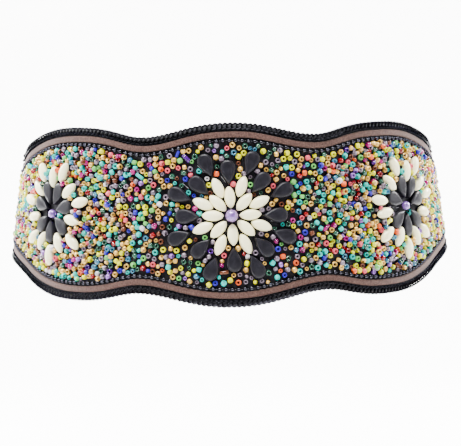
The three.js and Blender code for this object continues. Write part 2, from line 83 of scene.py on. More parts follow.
def smoothstep(value: Array, low: float, high: float) -> Array:
    """Rise smoothly from 0 at low to 1 at high."""
    share = np.clip((np.asarray(value, float) - low) / (high - low), 0, 1)
    return share * share * (3 - 2 * share)


def add_node(tree: Tree, kind: str, links: dict | None = None,
             values: dict | None = None, **settings: object) -> bpy.types.Node:
    """Add one node with its settings, its unlinked values and its incoming links.

    Args:
        tree: node tree that takes the node.
        kind: Blender's identifier of the node.
        links: input name or index to the output socket that feeds it.
        values: input name or index to a constant.
        settings: attributes of the node itself.

    Returns:
        The new node.
    """
    node = tree.nodes.new(kind)
    for key, value in settings.items():
        setattr(node, key, value)
    for key, value in (values or {}).items():
        node.inputs[key].default_value = value
    for key, socket in (links or {}).items():
        tree.links.new(socket, node.inputs[key])
    return node


@dataclass(frozen=True)
class BeltForm:
    """The loop, the panel's outline and the trims, from the sizes that the solids are made with."""

    front_radius: float = 124 * MM
    front_arc: float = math.radians(88)
    side_radius_less: float = 46 * MM
    back_radius_more: float = 72 * MM
    front_flare: float = 0.107
    side_flare: float = 0.065
    end_flare: float = 0.145
    flare_end: float = 173 * MM
    flare_from: float = 36.8 * MM
    flare_to: float = 142.5 * MM
    clasp_length: float = 41.6 * MM
    turn_back: float = 18 * MM
    panel_thickness: float = 2 * MM
    panel_inset: float = 0.6 * MM
    touch_gap: float = 0.3 * MM
    centre_half_height: float = 49.9 * MM
    valley_half_height: float = 42.65 * MM
    crest_half_height: float = 48.05 * MM
    end_half_height: float = 30.0 * MM
    valley_place: float = 50.0 * MM
    crest_place: float = 94.95 * MM
    panel_half_length: float = 187 * MM
    trims_width: float = 11.1 * MM
    # How late the edge falls: middle to valley, crest to valley, and crest to end
    edge_powers: Triple = (1.15, 1.5, 1.05)

    def arcs(self) -> list[tuple[float, Array, float, float]]:
        """Return the half loop's arcs as radius, centre, first turn and last turn."""
        side_radius = self.front_radius - self.side_radius_less
        sine = self.side_radius_less * math.sin(self.front_arc) - self.clasp_length / 2
        side_turn = math.pi - math.asin(sine / self.back_radius_more)
        side_centre = self.outward(self.front_arc) * self.side_radius_less
        back_centre = side_centre - self.outward(side_turn) * self.back_radius_more
        return [
            (self.front_radius, np.zeros(2), 0.0, self.front_arc),
            (side_radius, side_centre, self.front_arc, side_turn),
            (side_radius + self.back_radius_more, back_centre, side_turn, math.pi),
        ]

    @staticmethod
    def outward(turn: Array | float) -> Array:
        """Return the direction out of the loop, in plan, where it has turned by turn."""
        return np.stack([np.sin(turn), -np.cos(turn)], -1)

    def half_loop(self) -> float:
        """Return the length of half the loop, from the front's middle to the clasp's middle."""
        return sum(r * (b - a) for r, _, a, b in self.arcs()) + self.clasp_length / 2

    def plan(self, s: Array) -> tuple[Array, Array, Array]:
        """Return the loop's point, outward direction and direction of travel in plan.

        Args:
            s: places round the loop.
        """
        s = np.atleast_1d(np.asarray(s, float))
        rest = np.abs(s)
        turn = np.full(s.shape, math.pi)
        point = np.zeros((*s.shape, 2))
        done = np.zeros(s.shape, bool)
        start = 0.0
        for radius, centre, first, last in self.arcs():
            length = radius * (last - first)
            here = ~done & (rest <= start + length)
            turn[here] = first + (rest[here] - start) / radius
            point[here] = centre + self.outward(turn[here]) * radius
            done |= here
            start += length
        radius, centre, _, last = self.arcs()[-1]
        point[~done] = centre + self.outward(last) * radius
        point[~done, 0] -= rest[~done] - start
        out = self.outward(turn)
        travel = np.stack([-out[..., 1], out[..., 0]], -1)
        side = np.where(s < 0, -1.0, 1.0)
        point[..., 0] *= side
        out[..., 0] *= side
        travel[..., 1] *= side
        return point, out, travel

    def lean(self, s: Array) -> Array:
        """Return how far the belt leans out for each unit down."""
        upright = self.half_loop() - self.clasp_length / 2 - self.turn_back
        side_share = smoothstep(np.abs(s), self.flare_from, self.flare_to)
        flare = self.front_flare + (self.side_flare - self.front_flare) * side_share
        end_share = smoothstep(np.abs(s), self.flare_to, self.flare_end)
        flare = flare + (self.end_flare - flare) * end_share
        return flare * (1 - smoothstep(np.abs(s), self.panel_half_length, upright))

    def point(self, s: Array, z: Array, out: Array) -> Array:
        """Return points in space for places on the belt."""
        s, z, out = np.broadcast_arrays(*(np.asarray(v, float) for v in (s, z, out)))
        place, outward, _ = self.plan(s)
        reach = out - self.lean(s) * z
        flat = place.reshape(*s.shape, 2) + outward.reshape(*s.shape, 2) * reach[..., None]
        return np.concatenate([flat, z[..., None]], -1)

    def axes(self, s: Array) -> tuple[Array, Array, Array]:
        """Return unit directions along the belt, up its face and out of its face."""
        _, outward, travel = self.plan(s)
        along = np.concatenate([travel, np.zeros((len(travel), 1))], -1)
        normal = np.concatenate([outward, self.lean(np.atleast_1d(s))[:, None]], -1)
        normal /= np.linalg.norm(normal, axis=1, keepdims=True)
        return along, np.cross(normal, along), normal

    def edge(self, s: Array) -> Array:
        """Return half the belt's height, to the outer edge of its chains."""
        place = np.abs(np.asarray(s, float))
        spans = [
            (0.0, self.valley_place, self.centre_half_height, self.valley_half_height),
            (self.crest_place, self.valley_place, self.crest_half_height, self.valley_half_height),
            (self.crest_place, self.panel_half_length, self.crest_half_height, self.end_half_height),
        ]
        heights = []
        for (first, last, high, low), power in zip(spans, self.edge_powers):
            share = np.clip((place - first) / (last - first), 0, 1)
            heights.append(high + (low - high) * (1 - np.cos(np.pi * share ** power)) / 2)
        inner = np.where(place < self.valley_place, heights[0], heights[1])
        return np.where(place < self.crest_place, inner, heights[2])

    def along_panel(self, count: int, margin: float = 0.0) -> Array:
        """Return places at even steps of s along the panel, without the margin at each end."""
        reach = self.panel_half_length - margin
        return np.linspace(-reach, reach, count)


FORM = BeltForm()


def run_lengths(points: Array) -> Array:
    """Return how far along a line of points each of them lies."""
    steps = np.linalg.norm(np.diff(points, axis=0), axis=1)
    return np.concatenate([[0.0], np.cumsum(steps)])


def turns_round(count: int, start: float = 0.0) -> Array:
    """Return even steps round a circle, the first one at the share start of a step."""
    return math.tau * (np.arange(count) + start) / count


def linked_object(name: str, data: bpy.types.ID) -> Object:
    """Make an object of its data and link it to the scene."""
    made = bpy.data.objects.new(name, data)
    bpy.context.scene.collection.objects.link(made)
    return made


def evaluated_mesh(carrier: Object, name: str) -> bpy.types.Mesh:
    """Return the plain mesh that an object's curve or modifiers give."""
    bpy.context.view_layer.update()
    mesh = bpy.data.meshes.new_from_object(carrier.evaluated_get(bpy.context.evaluated_depsgraph_get()))
    mesh.name = name
    return mesh


def mesh_piece(name: str, points: Array, faces: Faces, smooth: bool = True) -> Object:
    """Make a mesh object from points and from faces that are anticlockwise from outside."""
    mesh = bpy.data.meshes.new(name)
    mesh.from_pydata([tuple(p) for p in np.asarray(points).reshape(-1, 3)], [], faces)
    mesh.validate()
    mesh.polygons.foreach_set("use_smooth", [smooth] * len(mesh.polygons))
    mesh.update()
    return linked_object(name, mesh)


def closed_piece(name: str, points: Array, faces: Faces, smooth: bool = True) -> Object:
    """Make a closed mesh object, turned right side out if its signed volume is negative."""
    piece = mesh_piece(name, points, faces, smooth)
    mesh = piece.data
    mesh.calc_loop_triangles()
    places = np.array([v.co for v in mesh.vertices])
    corners = places[np.array([t.vertices for t in mesh.loop_triangles])]
    if np.einsum("ij,ij->", corners[:, 0], np.cross(corners[:, 1], corners[:, 2])) < 0:
        mesh.flip_normals()
    return piece


def ring_faces(rings: int, sides: int, first: int = 0, capped: bool = False, looped: bool = False) -> Faces:
    """Return the faces of a skin through a row of rings.

    Args:
        rings: number of rings.
        sides: points in each ring.
        first: number of the first vertex.
        capped: whether a face closes each of the two end rings.
        looped: whether the last ring is joined to the first.
    """
    total = rings * sides
    faces = []
    for i in range(rings if looped else rings - 1):
        for j in range(sides):
            a, b = i * sides + j, i * sides + (j + 1) % sides
            faces.append(tuple(first + v for v in (a, b, (b + sides) % total, (a + sides) % total)))
    if capped:
        faces.append(tuple(first + j for j in reversed(range(sides))))
        faces.append(tuple(first + total - sides + j for j in range(sides)))
    return faces


def pole_faces(base: int, top: int, first: int, last: int, sides: int) -> Faces:
    """Return the triangles that join a first ring to a base point and a last ring to a top point."""
    faces = []
    for j in range(sides):
        following = (j + 1) % sides
        faces += [(base, first + following, first + j), (top, last + j, last + following)]
    return faces


def ball_skin(rows: int, sides: int) -> tuple[Array, Faces]:
    """Return the points and faces of a ball of radius 1."""
    turn = math.pi * np.arange(1, rows)[:, None] / rows
    bend = turns_round(sides)
    rings = np.broadcast_arrays(np.sin(turn) * np.cos(bend), np.sin(turn) * np.sin(bend), -np.cos(turn))
    points = np.concatenate([[[0, 0, -1]], np.stack(rings, -1).reshape(-1, 3), [[0, 0, 1]]])
    top = len(points) - 1
    return points, ring_faces(rows - 1, sides, first=1) + pole_faces(0, top, 1, top - sides, sides)


def rounded_rectangle(width: float, height: float, corner: float, steps: int, across: int = 1) -> Array:
    """Return a rounded rectangle's points, anticlockwise about its middle.

    Args:
        width: full width, along the first coordinate.
        height: full height, along the second.
        corner: radius of the four corners.
        steps: steps round each corner.
        across: steps along each of the two sides that run with the width.
    """
    half_w, half_h = width / 2 - corner, height / 2 - corner
    points = []
    for quarter, (sw, sh) in enumerate([(1, 1), (-1, 1), (-1, -1), (1, -1)]):
        for step in range(steps + 1):
            turn = math.pi / 2 * (quarter + step / steps)
            points.append((sw * half_w + corner * math.cos(turn), sh * half_h + corner * math.sin(turn)))
        if quarter in (0, 2):
            for step in range(1, across):
                points.append((sw * half_w * (1 - 2 * step / across), sh * (half_h + corner)))
    return np.array(points)


class StoneKind(Enum):
    """The two stone shapes on the belt, each named after its material."""

    CREAM = "cream_stone"
    BLACK = "black_stone"


@dataclass(frozen=True)
class StoneSeat:
    """Where one stone sits and which CAD node it stands for."""

    name: str
    kind: StoneKind
    s: float
    z: float
    angle: float
    lift: float


@dataclass(frozen=True)
class StoneShape:
    """Outline and profile of both stone shapes.

    A wall's rows are shares of the outline and of the stone's height.
    """

    cream_length: float = 12 * MM
    cream_width: float = 5.9 * MM
    cream_height: float = 3.7 * MM
    cream_narrowing: float = 1.3
    cream_wall: tuple[Pair, ...] = ((0.93, 0.0), (0.985, 0.12), (1.0, 0.25))
    dome_power: float = 0.85
    dome_steps: int = 9
    black_length: float = 13.2 * MM
    black_width: float = 8 * MM
    black_height: float = 3.6 * MM
    black_wall: tuple[Pair, ...] = ((0.96, 0.0), (1.0, 0.06))
    black_bevel: float = 1.2 * MM
    bevel_rise: float = 0.86
    bevel_steps: int = 5
    table_rim: Pair = (1.25, 0.1)
    table_middle: float = 0.45
    sides: int = 40

    def length(self, kind: StoneKind) -> float:
        """Return the stone's length."""
        return self.cream_length if kind is StoneKind.CREAM else self.black_length

    def height(self, kind: StoneKind) -> float:
        """Return the stone's height."""
        return self.cream_height if kind is StoneKind.CREAM else self.black_height

    def outline(self, kind: StoneKind, turn: Array) -> tuple[Array, Array]:
        """Return the outline's place across and along the stone, by turn from its outer end."""
        along = self.length(kind) / 2 * np.cos(turn)
        if kind is StoneKind.CREAM:
            sine = np.sin(turn)
            return self.cream_width / 2 * np.sign(sine) * np.abs(sine) ** self.cream_narrowing, along
        widest = math.acos(1 / 3)
        share = math.sin(widest) * math.cos(widest / 2)
        return self.black_width / 2 * np.sin(turn) * np.abs(np.cos(turn / 2)) / share, along

    def profile(self, kind: StoneKind) -> list[Pair]:
        """Return rows of outline share and height, from the base's rim to the top's middle."""
        height = self.height(kind)
        if kind is StoneKind.CREAM:
            rows = [(share, level * height) for share, level in self.cream_wall]
            wall = rows[-1][1]
            for turn in math.pi / 2 * np.arange(1, self.dome_steps) / self.dome_steps:
                rows.append((math.cos(turn) ** self.dome_power, wall + (height - wall) * math.sin(turn)))
            return rows
        inset = 2 * self.black_bevel / self.black_width
        shoulder = height - self.black_bevel
        rows = [(share, level * height) for share, level in self.black_wall] + [(1.0, shoulder)]
        for turn in math.pi / 2 * np.arange(1, self.bevel_steps) / self.bevel_steps:
            rise = self.bevel_rise * self.black_bevel * math.sin(turn)
            rows.append((1 - inset * (1 - math.cos(turn)), shoulder + rise))
        rows.append((1 - self.table_rim[0] * inset, height - self.table_rim[1] * self.black_bevel))
        rows.append((self.table_middle, height))
        return rows


SHAPE = StoneShape()


@dataclass(frozen=True)
class FlowerLayout:
    """Rings of the centre flower and of the two side flowers, with how single stones are set."""

    centre_pearl: float = 6.8 * MM
    side_pearl: float = 4.8 * MM
    centre_turn: float = 91.5
    side_turn: float = 113.0
    centre_place: Pair = (0.4 * MM, -0.65 * MM)
    left_place: Pair = (-112.95 * MM, 0.3 * MM)
    right_place: Pair = (111.95 * MM, -0.4 * MM)
    left_pearl: Pair = (-112.45 * MM, -0.9 * MM)
    right_pearl: Pair = (110.95 * MM, -0.6 * MM)
    cream_inner: float = 10.1 * MM
    cream_outer: float = 16.7 * MM
    black_inner: float = 23.6 * MM
    black_outer: float = 30.2 * MM
    petal_radius: float = 11.15 * MM
    side_cream_inner: float = 18.55 * MM
    side_cream_outer: float = 24.55 * MM
    bed_sunk: float = 0.2 * MM
    oval_raise: float = 1.0 * MM
    centre_setting: tuple[tuple[float, float, float, float], ...] = (
        (3, 1, 2, 1.5), (0, -2.5, 0, -1), (-3, -2, -1.5, -2.5), (-1, -1, -0.5, 0),
        (1, 1, 0.5, 0), (2, 2, -2, -1), (1, 1, -2, 0.5), (0.5, 1, 1, -0.5))
    # Turn of each petal, then turn and shift outwards of the next oval and of the oval beyond it
    left_setting: tuple[tuple[float, ...], ...] = (
        (-2, 1, 0.4, 4.5, -0.6), (-2.5, 1.5, 0.8, 5, 0.6), (1, 0.5, 0.8, 1, 0.2), (-2.5, 0, 0, 2.5, -0.2),
        (1.5, 0, -0.6, -1, -0.2), (3, 1, 0.4, 1, -0.4), (2.5, 0.5, 1, 2.5, -0.4))
    right_setting: tuple[tuple[float, ...], ...] = (
        (-6, 3, 0.8, 4.5, -0.6), (-5, -0.5, 1.2, 10, -1.2), (3, -0.5, 0.6, -0.5, -0.4),
        (0, 1, 0.6, 0, -0.4), (-2, 0.5, 0.6, 2, -0.4), (3, 0, 0.6, -0.5, -0.4), (-1, 0, 0.8, 1.5, -0.4))

    def seat(self, name: str, kind: StoneKind, place: Pair, radius: float, angle: float,
             lift: float) -> StoneSeat:
        """Return the seat of a stone in a ring round the flower's middle."""
        turn = math.radians(angle)
        s, z = place[0] + radius * math.cos(turn), place[1] + radius * math.sin(turn)
        return StoneSeat(name, kind, s, z, turn, lift)

    def centre(self) -> list[StoneSeat]:
        """Return the seats of the centre flower's thirty-two stones."""
        rings = [("cream_inner", StoneKind.CREAM, self.cream_inner, 0.0),
                 ("cream_outer", StoneKind.CREAM, self.cream_outer, 0.5),
                 ("black_inner", StoneKind.BLACK, self.black_inner, 0.0),
                 ("black_outer", StoneKind.BLACK, self.black_outer, 0.5)]
        step = 360 / len(self.centre_setting)
        seats = []
        for column, (name, kind, radius, between) in enumerate(rings):
            for i, row in enumerate(self.centre_setting):
                angle = self.centre_turn + step * (i + between) + row[column]
                seats.append(self.seat(f"{name}_{i + 1}", kind, self.centre_place, radius, angle,
                                       FORM.touch_gap))
        return seats

    def middle(self, name: str) -> Pair:
        """Return the place of a side flower's middle."""
        return self.left_place if name == "left" else self.right_place

    def pearls(self) -> dict[str, tuple[Pair, float]]:
        """Return the place and diameter of each pearl."""
        return {"centre": (self.centre_place, self.centre_pearl),
                "left": (self.left_pearl, self.side_pearl), "right": (self.right_pearl, self.side_pearl)}

    def side(self, name: str) -> list[StoneSeat]:
        """Return the seats of one side flower's petals and ovals."""
        rows = self.left_setting if name == "left" else self.right_setting
        place = self.middle(name)
        step = 360 / len(rows)
        lift = FORM.touch_gap + self.bed_sunk
        raised = lift + self.oval_raise
        angles = [self.side_turn + step * i + row[0] for i, row in enumerate(rows)]
        seats = []
        for i, (angle, row) in enumerate(zip(angles, rows)):
            following = angles[i + 1] if i + 1 < len(angles) else angles[0] + 360
            _, next_turn, next_out, beyond_turn, beyond_out = row
            inner = self.side_cream_inner + next_out * MM
            outer = self.side_cream_outer + beyond_out * MM
            seats.append(self.seat(f"{name}_petal", StoneKind.BLACK, place, self.petal_radius, angle, lift))
            seats.append(self.seat(f"{name}_oval", StoneKind.CREAM, place, inner,
                                   (angle + following) / 2 + next_turn, raised))
            seats.append(self.seat(f"{name}_oval", StoneKind.CREAM, place, outer,
                                   angle + beyond_turn, raised))
        return seats


LAYOUT = FlowerLayout()


@dataclass(frozen=True)
class EdgePath:
    """A line that follows the belt's top or bottom edge at a fixed distance inside it."""

    side: int
    inset: float
    out: float

    def place(self, s: Array) -> Array:
        """Return points of the line at places s."""
        return FORM.point(s, self.side * (FORM.edge(s) - self.inset), self.out)

    def stations(self, count: int, margin: float) -> Array:
        """Return places s at even steps of the line's own length, without the margin at each end."""
        fine = FORM.along_panel(FINE_STEPS, margin)
        length = run_lengths(self.place(fine))
        return np.interp(np.linspace(0, length[-1], count), length, fine)

    def length(self) -> float:
        """Return the line's whole length."""
        return float(run_lengths(self.place(FORM.along_panel(FINE_STEPS)))[-1])

    def axes(self, s: Array) -> tuple[Array, Array]:
        """Return the line's own direction and the direction out of the belt at places s."""
        small = 0.2 * MM
        along = self.place(np.asarray(s) + small) - self.place(np.asarray(s) - small)
        along /= np.linalg.norm(along, axis=1, keepdims=True)
        return along, FORM.axes(s)[2]


@dataclass
class PointSet:
    """Points that take copies of a few shapes, with the axes, size, shape and colour of each copy."""

    places: Array
    along: Array
    outward: Array
    size: Array | None = None
    shape: Array | None = None
    colour: Array | None = None

    def mesh(self, name: str) -> bpy.types.Mesh:
        """Return a mesh of bare points that carries the copies' values as attributes."""
        count = len(self.places)
        mesh = bpy.data.meshes.new(name)
        mesh.from_pydata([tuple(p) for p in self.places], [], [])
        rows = [("along", "FLOAT_VECTOR", "vector", self.along, None),
                ("outward", "FLOAT_VECTOR", "vector", self.outward, None),
                ("size", "FLOAT", "value", self.size, np.ones(count)),
                ("shape", "INT", "value", self.shape, np.zeros(count, int)),
                ("bead_colour", "FLOAT_COLOR", "color", self.colour, np.ones((count, 4)))]
        for label, kind, key, given, plain in rows:
            values = plain if given is None else given
            mesh.attributes.new(label, kind, "POINT").data.foreach_set(key, values.ravel())
        return mesh


@dataclass
class CopyTree:
    """Geometry Nodes that set copies of a few shapes on points and turn each one a little at random."""

    name: str = "set_copies_on_points"
    sockets: dict[str, str] = field(default_factory=dict)

    def named(self, tree: Tree, name: str, data_type: str) -> Socket:
        """Return the output that reads a named attribute of the points."""
        node = add_node(tree, "GeometryNodeInputNamedAttribute", data_type=data_type, values={"Name": name})
        return next(o for o in node.outputs if o.name == "Attribute" and o.enabled)

    def build(self) -> Tree:
        """Build the tree once, with an input for each size and for the seed."""
        tree = bpy.data.node_groups.new(self.name, "GeometryNodeTree")
        rows = [("Points", "NodeSocketGeometry"), ("Shapes", "NodeSocketCollection"),
                ("Scale", "NodeSocketFloat"), ("Tilt", "NodeSocketFloat"), ("Seed", "NodeSocketInt"),
                ("Finish", "NodeSocketMaterial")]
        for name, kind in rows:
            socket = tree.interface.new_socket(name, in_out="INPUT", socket_type=kind)
            self.sockets[name] = socket.identifier
        tree.interface.new_socket("Copies", in_out="OUTPUT", socket_type="NodeSocketGeometry")
        given = add_node(tree, "NodeGroupInput").outputs
        points = add_node(tree, "GeometryNodeMeshToPoints", {"Mesh": given["Points"]})
        shapes = add_node(tree, "GeometryNodeCollectionInfo", {"Collection": given["Shapes"]},
                          {"Separate Children": True, "Reset Children": True})
        axes = add_node(tree, "FunctionNodeAxesToRotation",
                        {"Primary Axis": self.named(tree, "outward", "FLOAT_VECTOR"),
                         "Secondary Axis": self.named(tree, "along", "FLOAT_VECTOR")},
                        primary_axis="Z", secondary_axis="X")
        low = add_node(tree, "ShaderNodeMath", {0: given["Tilt"]}, {1: -1.0}, operation="MULTIPLY")
        tilt = add_node(tree, "FunctionNodeRandomValue",
                        {"Min": low.outputs[0], "Max": given["Tilt"], "Seed": given["Seed"]},
                        data_type="FLOAT_VECTOR")
        turned = add_node(tree, "FunctionNodeEulerToRotation",
                          {"Euler": next(o for o in tilt.outputs if o.enabled)})
        rotation = add_node(tree, "FunctionNodeRotateRotation",
                            {"Rotation": axes.outputs[0], "Rotate By": turned.outputs[0]},
                            rotation_space="LOCAL")
        size = add_node(tree, "ShaderNodeMath",
                        {0: self.named(tree, "size", "FLOAT"), 1: given["Scale"]}, operation="MULTIPLY")
        copies = add_node(tree, "GeometryNodeInstanceOnPoints",
                          {"Points": points.outputs[0], "Instance": shapes.outputs[0],
                           "Instance Index": self.named(tree, "shape", "INT"),
                           "Rotation": rotation.outputs[0], "Scale": size.outputs[0]},
                          {"Pick Instance": True})
        real = add_node(tree, "GeometryNodeRealizeInstances", {"Geometry": copies.outputs[0]})
        dressed = add_node(tree, "GeometryNodeSetMaterial",
                           {"Geometry": real.outputs[0], "Material": given["Finish"]})
        add_node(tree, "NodeGroupOutput", {0: dressed.outputs[0]})
        return tree


COPY_TREE = CopyTree()
COPY_NODES = COPY_TREE.build()


def copies_on_points(name: str, points: PointSet, shapes: list[Object], finish: "Finish",
                     tilt: float = 0.0, seed: int = 1) -> Object:
    """Set copies of shapes on points with Geometry Nodes, and return them as one plain mesh.

    Args:
        name: name of the piece.
        points: where the copies go.
        shapes: the shapes, in the order of the points' shape numbers.
        finish: finish of every copy.
        tilt: most that a copy turns about each of its axes, in radians.
        seed: seed of the random turns.
    """
    collection = bpy.data.collections.new(f"{name}_shapes")
    bpy.context.scene.collection.children.link(collection)
    for number, shape in enumerate(shapes):
        shape.name = f"shape_{number:02d}_{name}"
        bpy.context.scene.collection.objects.unlink(shape)
        collection.objects.link(shape)
    carrier = linked_object(name, points.mesh(f"{name}_points"))
    modifier = carrier.modifiers.new("copies", "NODES")
    modifier.node_group = COPY_NODES
    given = {"Shapes": collection, "Scale": 1.0, "Tilt": tilt, "Seed": seed, "Finish": finish.build()}
    for socket, value in given.items():
        modifier[COPY_TREE.sockets[socket]] = value
    mesh = evaluated_mesh(carrier, name)
    carrier.modifiers.remove(modifier)
    carrier.data = mesh
    mesh.polygons.foreach_set("use_smooth", [True] * len(mesh.polygons))
    for unused in ("along", "outward", "size", "shape"):
        if unused in mesh.attributes:
            mesh.attributes.remove(mesh.attributes[unused])
    for shape in shapes:
        bpy.data.objects.remove(shape)
    bpy.data.collections.remove(collection)
    return carrier


def chain_on(path: EdgePath, name: str, link: Object, pitch: float, margin: float,
             finish: "Finish", tilt: float = 0.0) -> Object:
    """Set copies of a link along an edge's line, as near to the pitch as fits between the margins."""
    count = round((path.length() - 2 * margin) / pitch) + 1
    s = path.stations(count, margin)
    return copies_on_points(name, PointSet(path.place(s), *path.axes(s)), [link], finish, tilt, 3)


def blank_material(name: str) -> Material:
    """Make a material with an empty node tree."""
    material = bpy.data.materials.new(name)
    material.use_nodes = True
    material.node_tree.nodes.clear()
    return material


def mixed_colour(tree: Tree, share: Socket, first: str,
                 second: str) -> Socket:
    """Mix two hex colours by a share."""
    colours = {6: linear(first), 7: linear(second)}
    return add_node(tree, "ShaderNodeMix", {0: share}, colours, data_type="RGBA").outputs[2]


def shade(tree: Tree, height: Socket, depth: float, links: dict, values: dict) -> None:
    """Add the relief, the shader and the output that end a material's tree."""
    bump = add_node(tree, "ShaderNodeBump", {"Height": height}, {"Strength": 1.0, "Distance": depth})
    shader = add_node(tree, "ShaderNodeBsdfPrincipled", {"Normal": bump.outputs[0], **links}, values)
    add_node(tree, "ShaderNodeOutputMaterial", {"Surface": shader.outputs[0]})


@dataclass(frozen=True)
class Finish:
    """Looks of one material: two colours in soft patches, gloss, and a fine relief.

    Sizes are in metres on the object. Attribute names a colour attribute that replaces the colour.
    """

    name: str
    colour: str
    second: str
    patch: float
    roughness: tuple[float, float]
    grain: float
    depth: float
    cells: bool = False
    metallic: float = 0.0
    coat: float = 0.0
    transmission: float = 0.0
    sheen: float = 0.0
    specular: float = 0.5
    edge_tint: float = 1.0
    attribute: str = ""

    @cache
    def build(self) -> Material:
        """Build the material's node tree, once for each finish."""
        material = blank_material(self.name)
        tree = material.node_tree
        place = add_node(tree, "ShaderNodeTexCoord").outputs["Object"]
        patches = add_node(tree, "ShaderNodeTexNoise", {"Vector": place},
                           {"Scale": 1 / self.patch, "Detail": 4.0, "Roughness": 0.6}).outputs["Fac"]
        share = add_node(tree, "ShaderNodeMapRange", {"Value": patches},
                         {"From Min": 0.35, "From Max": 0.65})
        colour = mixed_colour(tree, share.outputs[0], self.colour, self.second)
        if self.attribute:
            given = add_node(tree, "ShaderNodeAttribute", attribute_name=self.attribute)
            mixed = add_node(tree, "ShaderNodeMix", {6: given.outputs["Color"], 7: colour},
                             {0: 1.0}, data_type="RGBA", blend_type="MULTIPLY")
            colour = mixed.outputs[2]
        gloss = add_node(tree, "ShaderNodeMapRange", {"Value": patches},
                         {"From Min": 0.3, "From Max": 0.7, "To Min": self.roughness[0],
                          "To Max": self.roughness[1]})
        if self.cells:
            relief = add_node(tree, "ShaderNodeTexVoronoi", {"Vector": place},
                              {"Scale": 1 / self.grain, "Randomness": 0.9},
                              feature="SMOOTH_F1").outputs["Distance"]
        else:
            relief = add_node(tree, "ShaderNodeTexNoise", {"Vector": place},
                              {"Scale": 1 / self.grain, "Detail": 3.0}).outputs["Fac"]
        shade(tree, relief, self.depth, {"Base Color": colour, "Roughness": gloss.outputs[0]},
              {"Metallic": self.metallic, "Coat Weight": self.coat, "Coat Roughness": 0.08,
               "Transmission Weight": self.transmission, "Sheen Weight": self.sheen,
               "Specular IOR Level": self.specular,
               "Specular Tint": (self.edge_tint, self.edge_tint, self.edge_tint, 1.0)})
        return material


@dataclass(frozen=True)
class WeaveFinish:
    """Woven elastic: ribs along the band and fine rows of yarn across it."""

    name: str = "woven_elastic"
    colour: str = "#060506"
    yarn: str = "#141315"
    rib_pitch: float = 1.25 * MM
    yarn_pitch: float = 0.62 * MM
    depth: float = 0.12 * MM
    roughness: float = 0.78
    sheen: float = 0.03
    specular: float = 0.15

    @cache
    def build(self) -> Material:
        """Build the material on the band's own strip coordinates, which are in metres."""
        material = blank_material(self.name)
        tree = material.node_tree
        wave_period = math.pi / 10
        place = add_node(tree, "ShaderNodeUVMap", uv_map="strip").outputs[0]
        ribs = add_node(tree, "ShaderNodeTexWave", {"Vector": place},
                        {"Scale": wave_period / self.rib_pitch, "Distortion": 0.0},
                        bands_direction="Y").outputs["Fac"]
        yarns = add_node(tree, "ShaderNodeTexWave", {"Vector": place},
                         {"Scale": wave_period / self.yarn_pitch, "Distortion": 0.6, "Detail Scale": 2.0},
                         bands_direction="X").outputs["Fac"]
        height = add_node(tree, "ShaderNodeMath", {0: yarns, 2: ribs}, {1: 0.5}, operation="MULTIPLY_ADD")
        shade(tree, height.outputs[0], self.depth,
              {"Base Color": mixed_colour(tree, yarns, self.colour, self.yarn)},
              {"Roughness": self.roughness, "Sheen Weight": self.sheen,
               "Specular IOR Level": self.specular})
        return material


# Black cowhide with a fine pebble grain and a dull polish
LEATHER = Finish("black_leather", "#141318", "#1C1B20", 9 * MM, (0.48, 0.66), 0.9 * MM, 0.08 * MM,
                 cells=True, specular=0.12)
# Curb links of soft metal under a worn black lacquer
LACQUER = Finish("black_lacquer", "#151518", "#1E1E22", 2.4 * MM, (0.1, 0.16), 0.5 * MM, 0.008 * MM,
                 metallic=1.0, edge_tint=0.35)
# Balls of the ball chain, plated black and smoother than the links
BALL_PLATING = Finish("black_ball_plating", "#34343A", "#414148", 2.4 * MM, (0.1, 0.16), 0.5 * MM,
                      0.006 * MM, metallic=1.0, edge_tint=0.12)
# Brown suede lace with a short uneven nap
SUEDE = Finish("brown_suede", "#38241F", "#58413A", 0.8 * MM, (0.86, 0.98), 0.35 * MM, 0.16 * MM,
               sheen=0.12, specular=0.2)
# Cast resin ovals, ivory, polished to a satin gloss
CREAM = Finish("ivory_resin", "#FFF9CC", "#FFF6C2", 6 * MM, (0.22, 0.34), 1.6 * MM, 0.01 * MM, coat=0.15)
# Cast resin drops, charcoal, with a matte table
CHARCOAL = Finish("charcoal_resin", "#141318", "#1C1B21", 3.2 * MM, (0.3, 0.38), 0.35 * MM, 0.01 * MM,
                  specular=0.2)
# Glass pearls with a lilac pearl coating
PEARL = Finish("lilac_pearl", "#6C4795", "#8A68B0", 3 * MM, (0.2, 0.3), 1.2 * MM, 0.008 * MM,
               metallic=0.4, coat=0.6)
# Opaque rocaille glass, fire polished
OPAQUE_GLASS = Finish("opaque_bead_glass", "#FFFFFF", "#E2DFDC", 1.8 * MM, (0.16, 0.34), 0.7 * MM,
                      0.012 * MM, coat=0.05, specular=0.22, attribute="bead_colour")
# Clear coloured rocaille glass
CLEAR_GLASS = Finish("clear_bead_glass", "#FFFFFF", "#E4E2E0", 1.8 * MM, (0.05, 0.14), 0.9 * MM, 0.01 * MM,
                     transmission=0.6, coat=0.2, attribute="bead_colour")
# Glass with a metallic lustre coat
LUSTRE_GLASS = Finish("lustre_bead_glass", "#FFFFFF", "#C9C4C8", 1.4 * MM, (0.1, 0.26), 0.7 * MM,
                      0.012 * MM, metallic=0.45, coat=0.3, specular=0.3, edge_tint=0.7,
                      attribute="bead_colour")
# Clear nylon beading thread
NYLON = Finish("clear_nylon", "#D8D8DC", "#C8C8CE", 2 * MM, (0.12, 0.22), 0.4 * MM, 0.004 * MM,
               transmission=0.3)
# Waxed black sewing thread
SEWING = Finish("black_thread", "#1C1B1D", "#2C2A2C", 1 * MM, (0.5, 0.7), 0.2 * MM, 0.02 * MM)
# Pressed steel plate, black plated and brushed dull
PLATED = Finish("black_plated_steel", "#141416", "#1F1F23", 7 * MM, (0.28, 0.42), 0.35 * MM, 0.006 * MM,
                metallic=1.0, edge_tint=0.3)
ELASTIC = WeaveFinish()

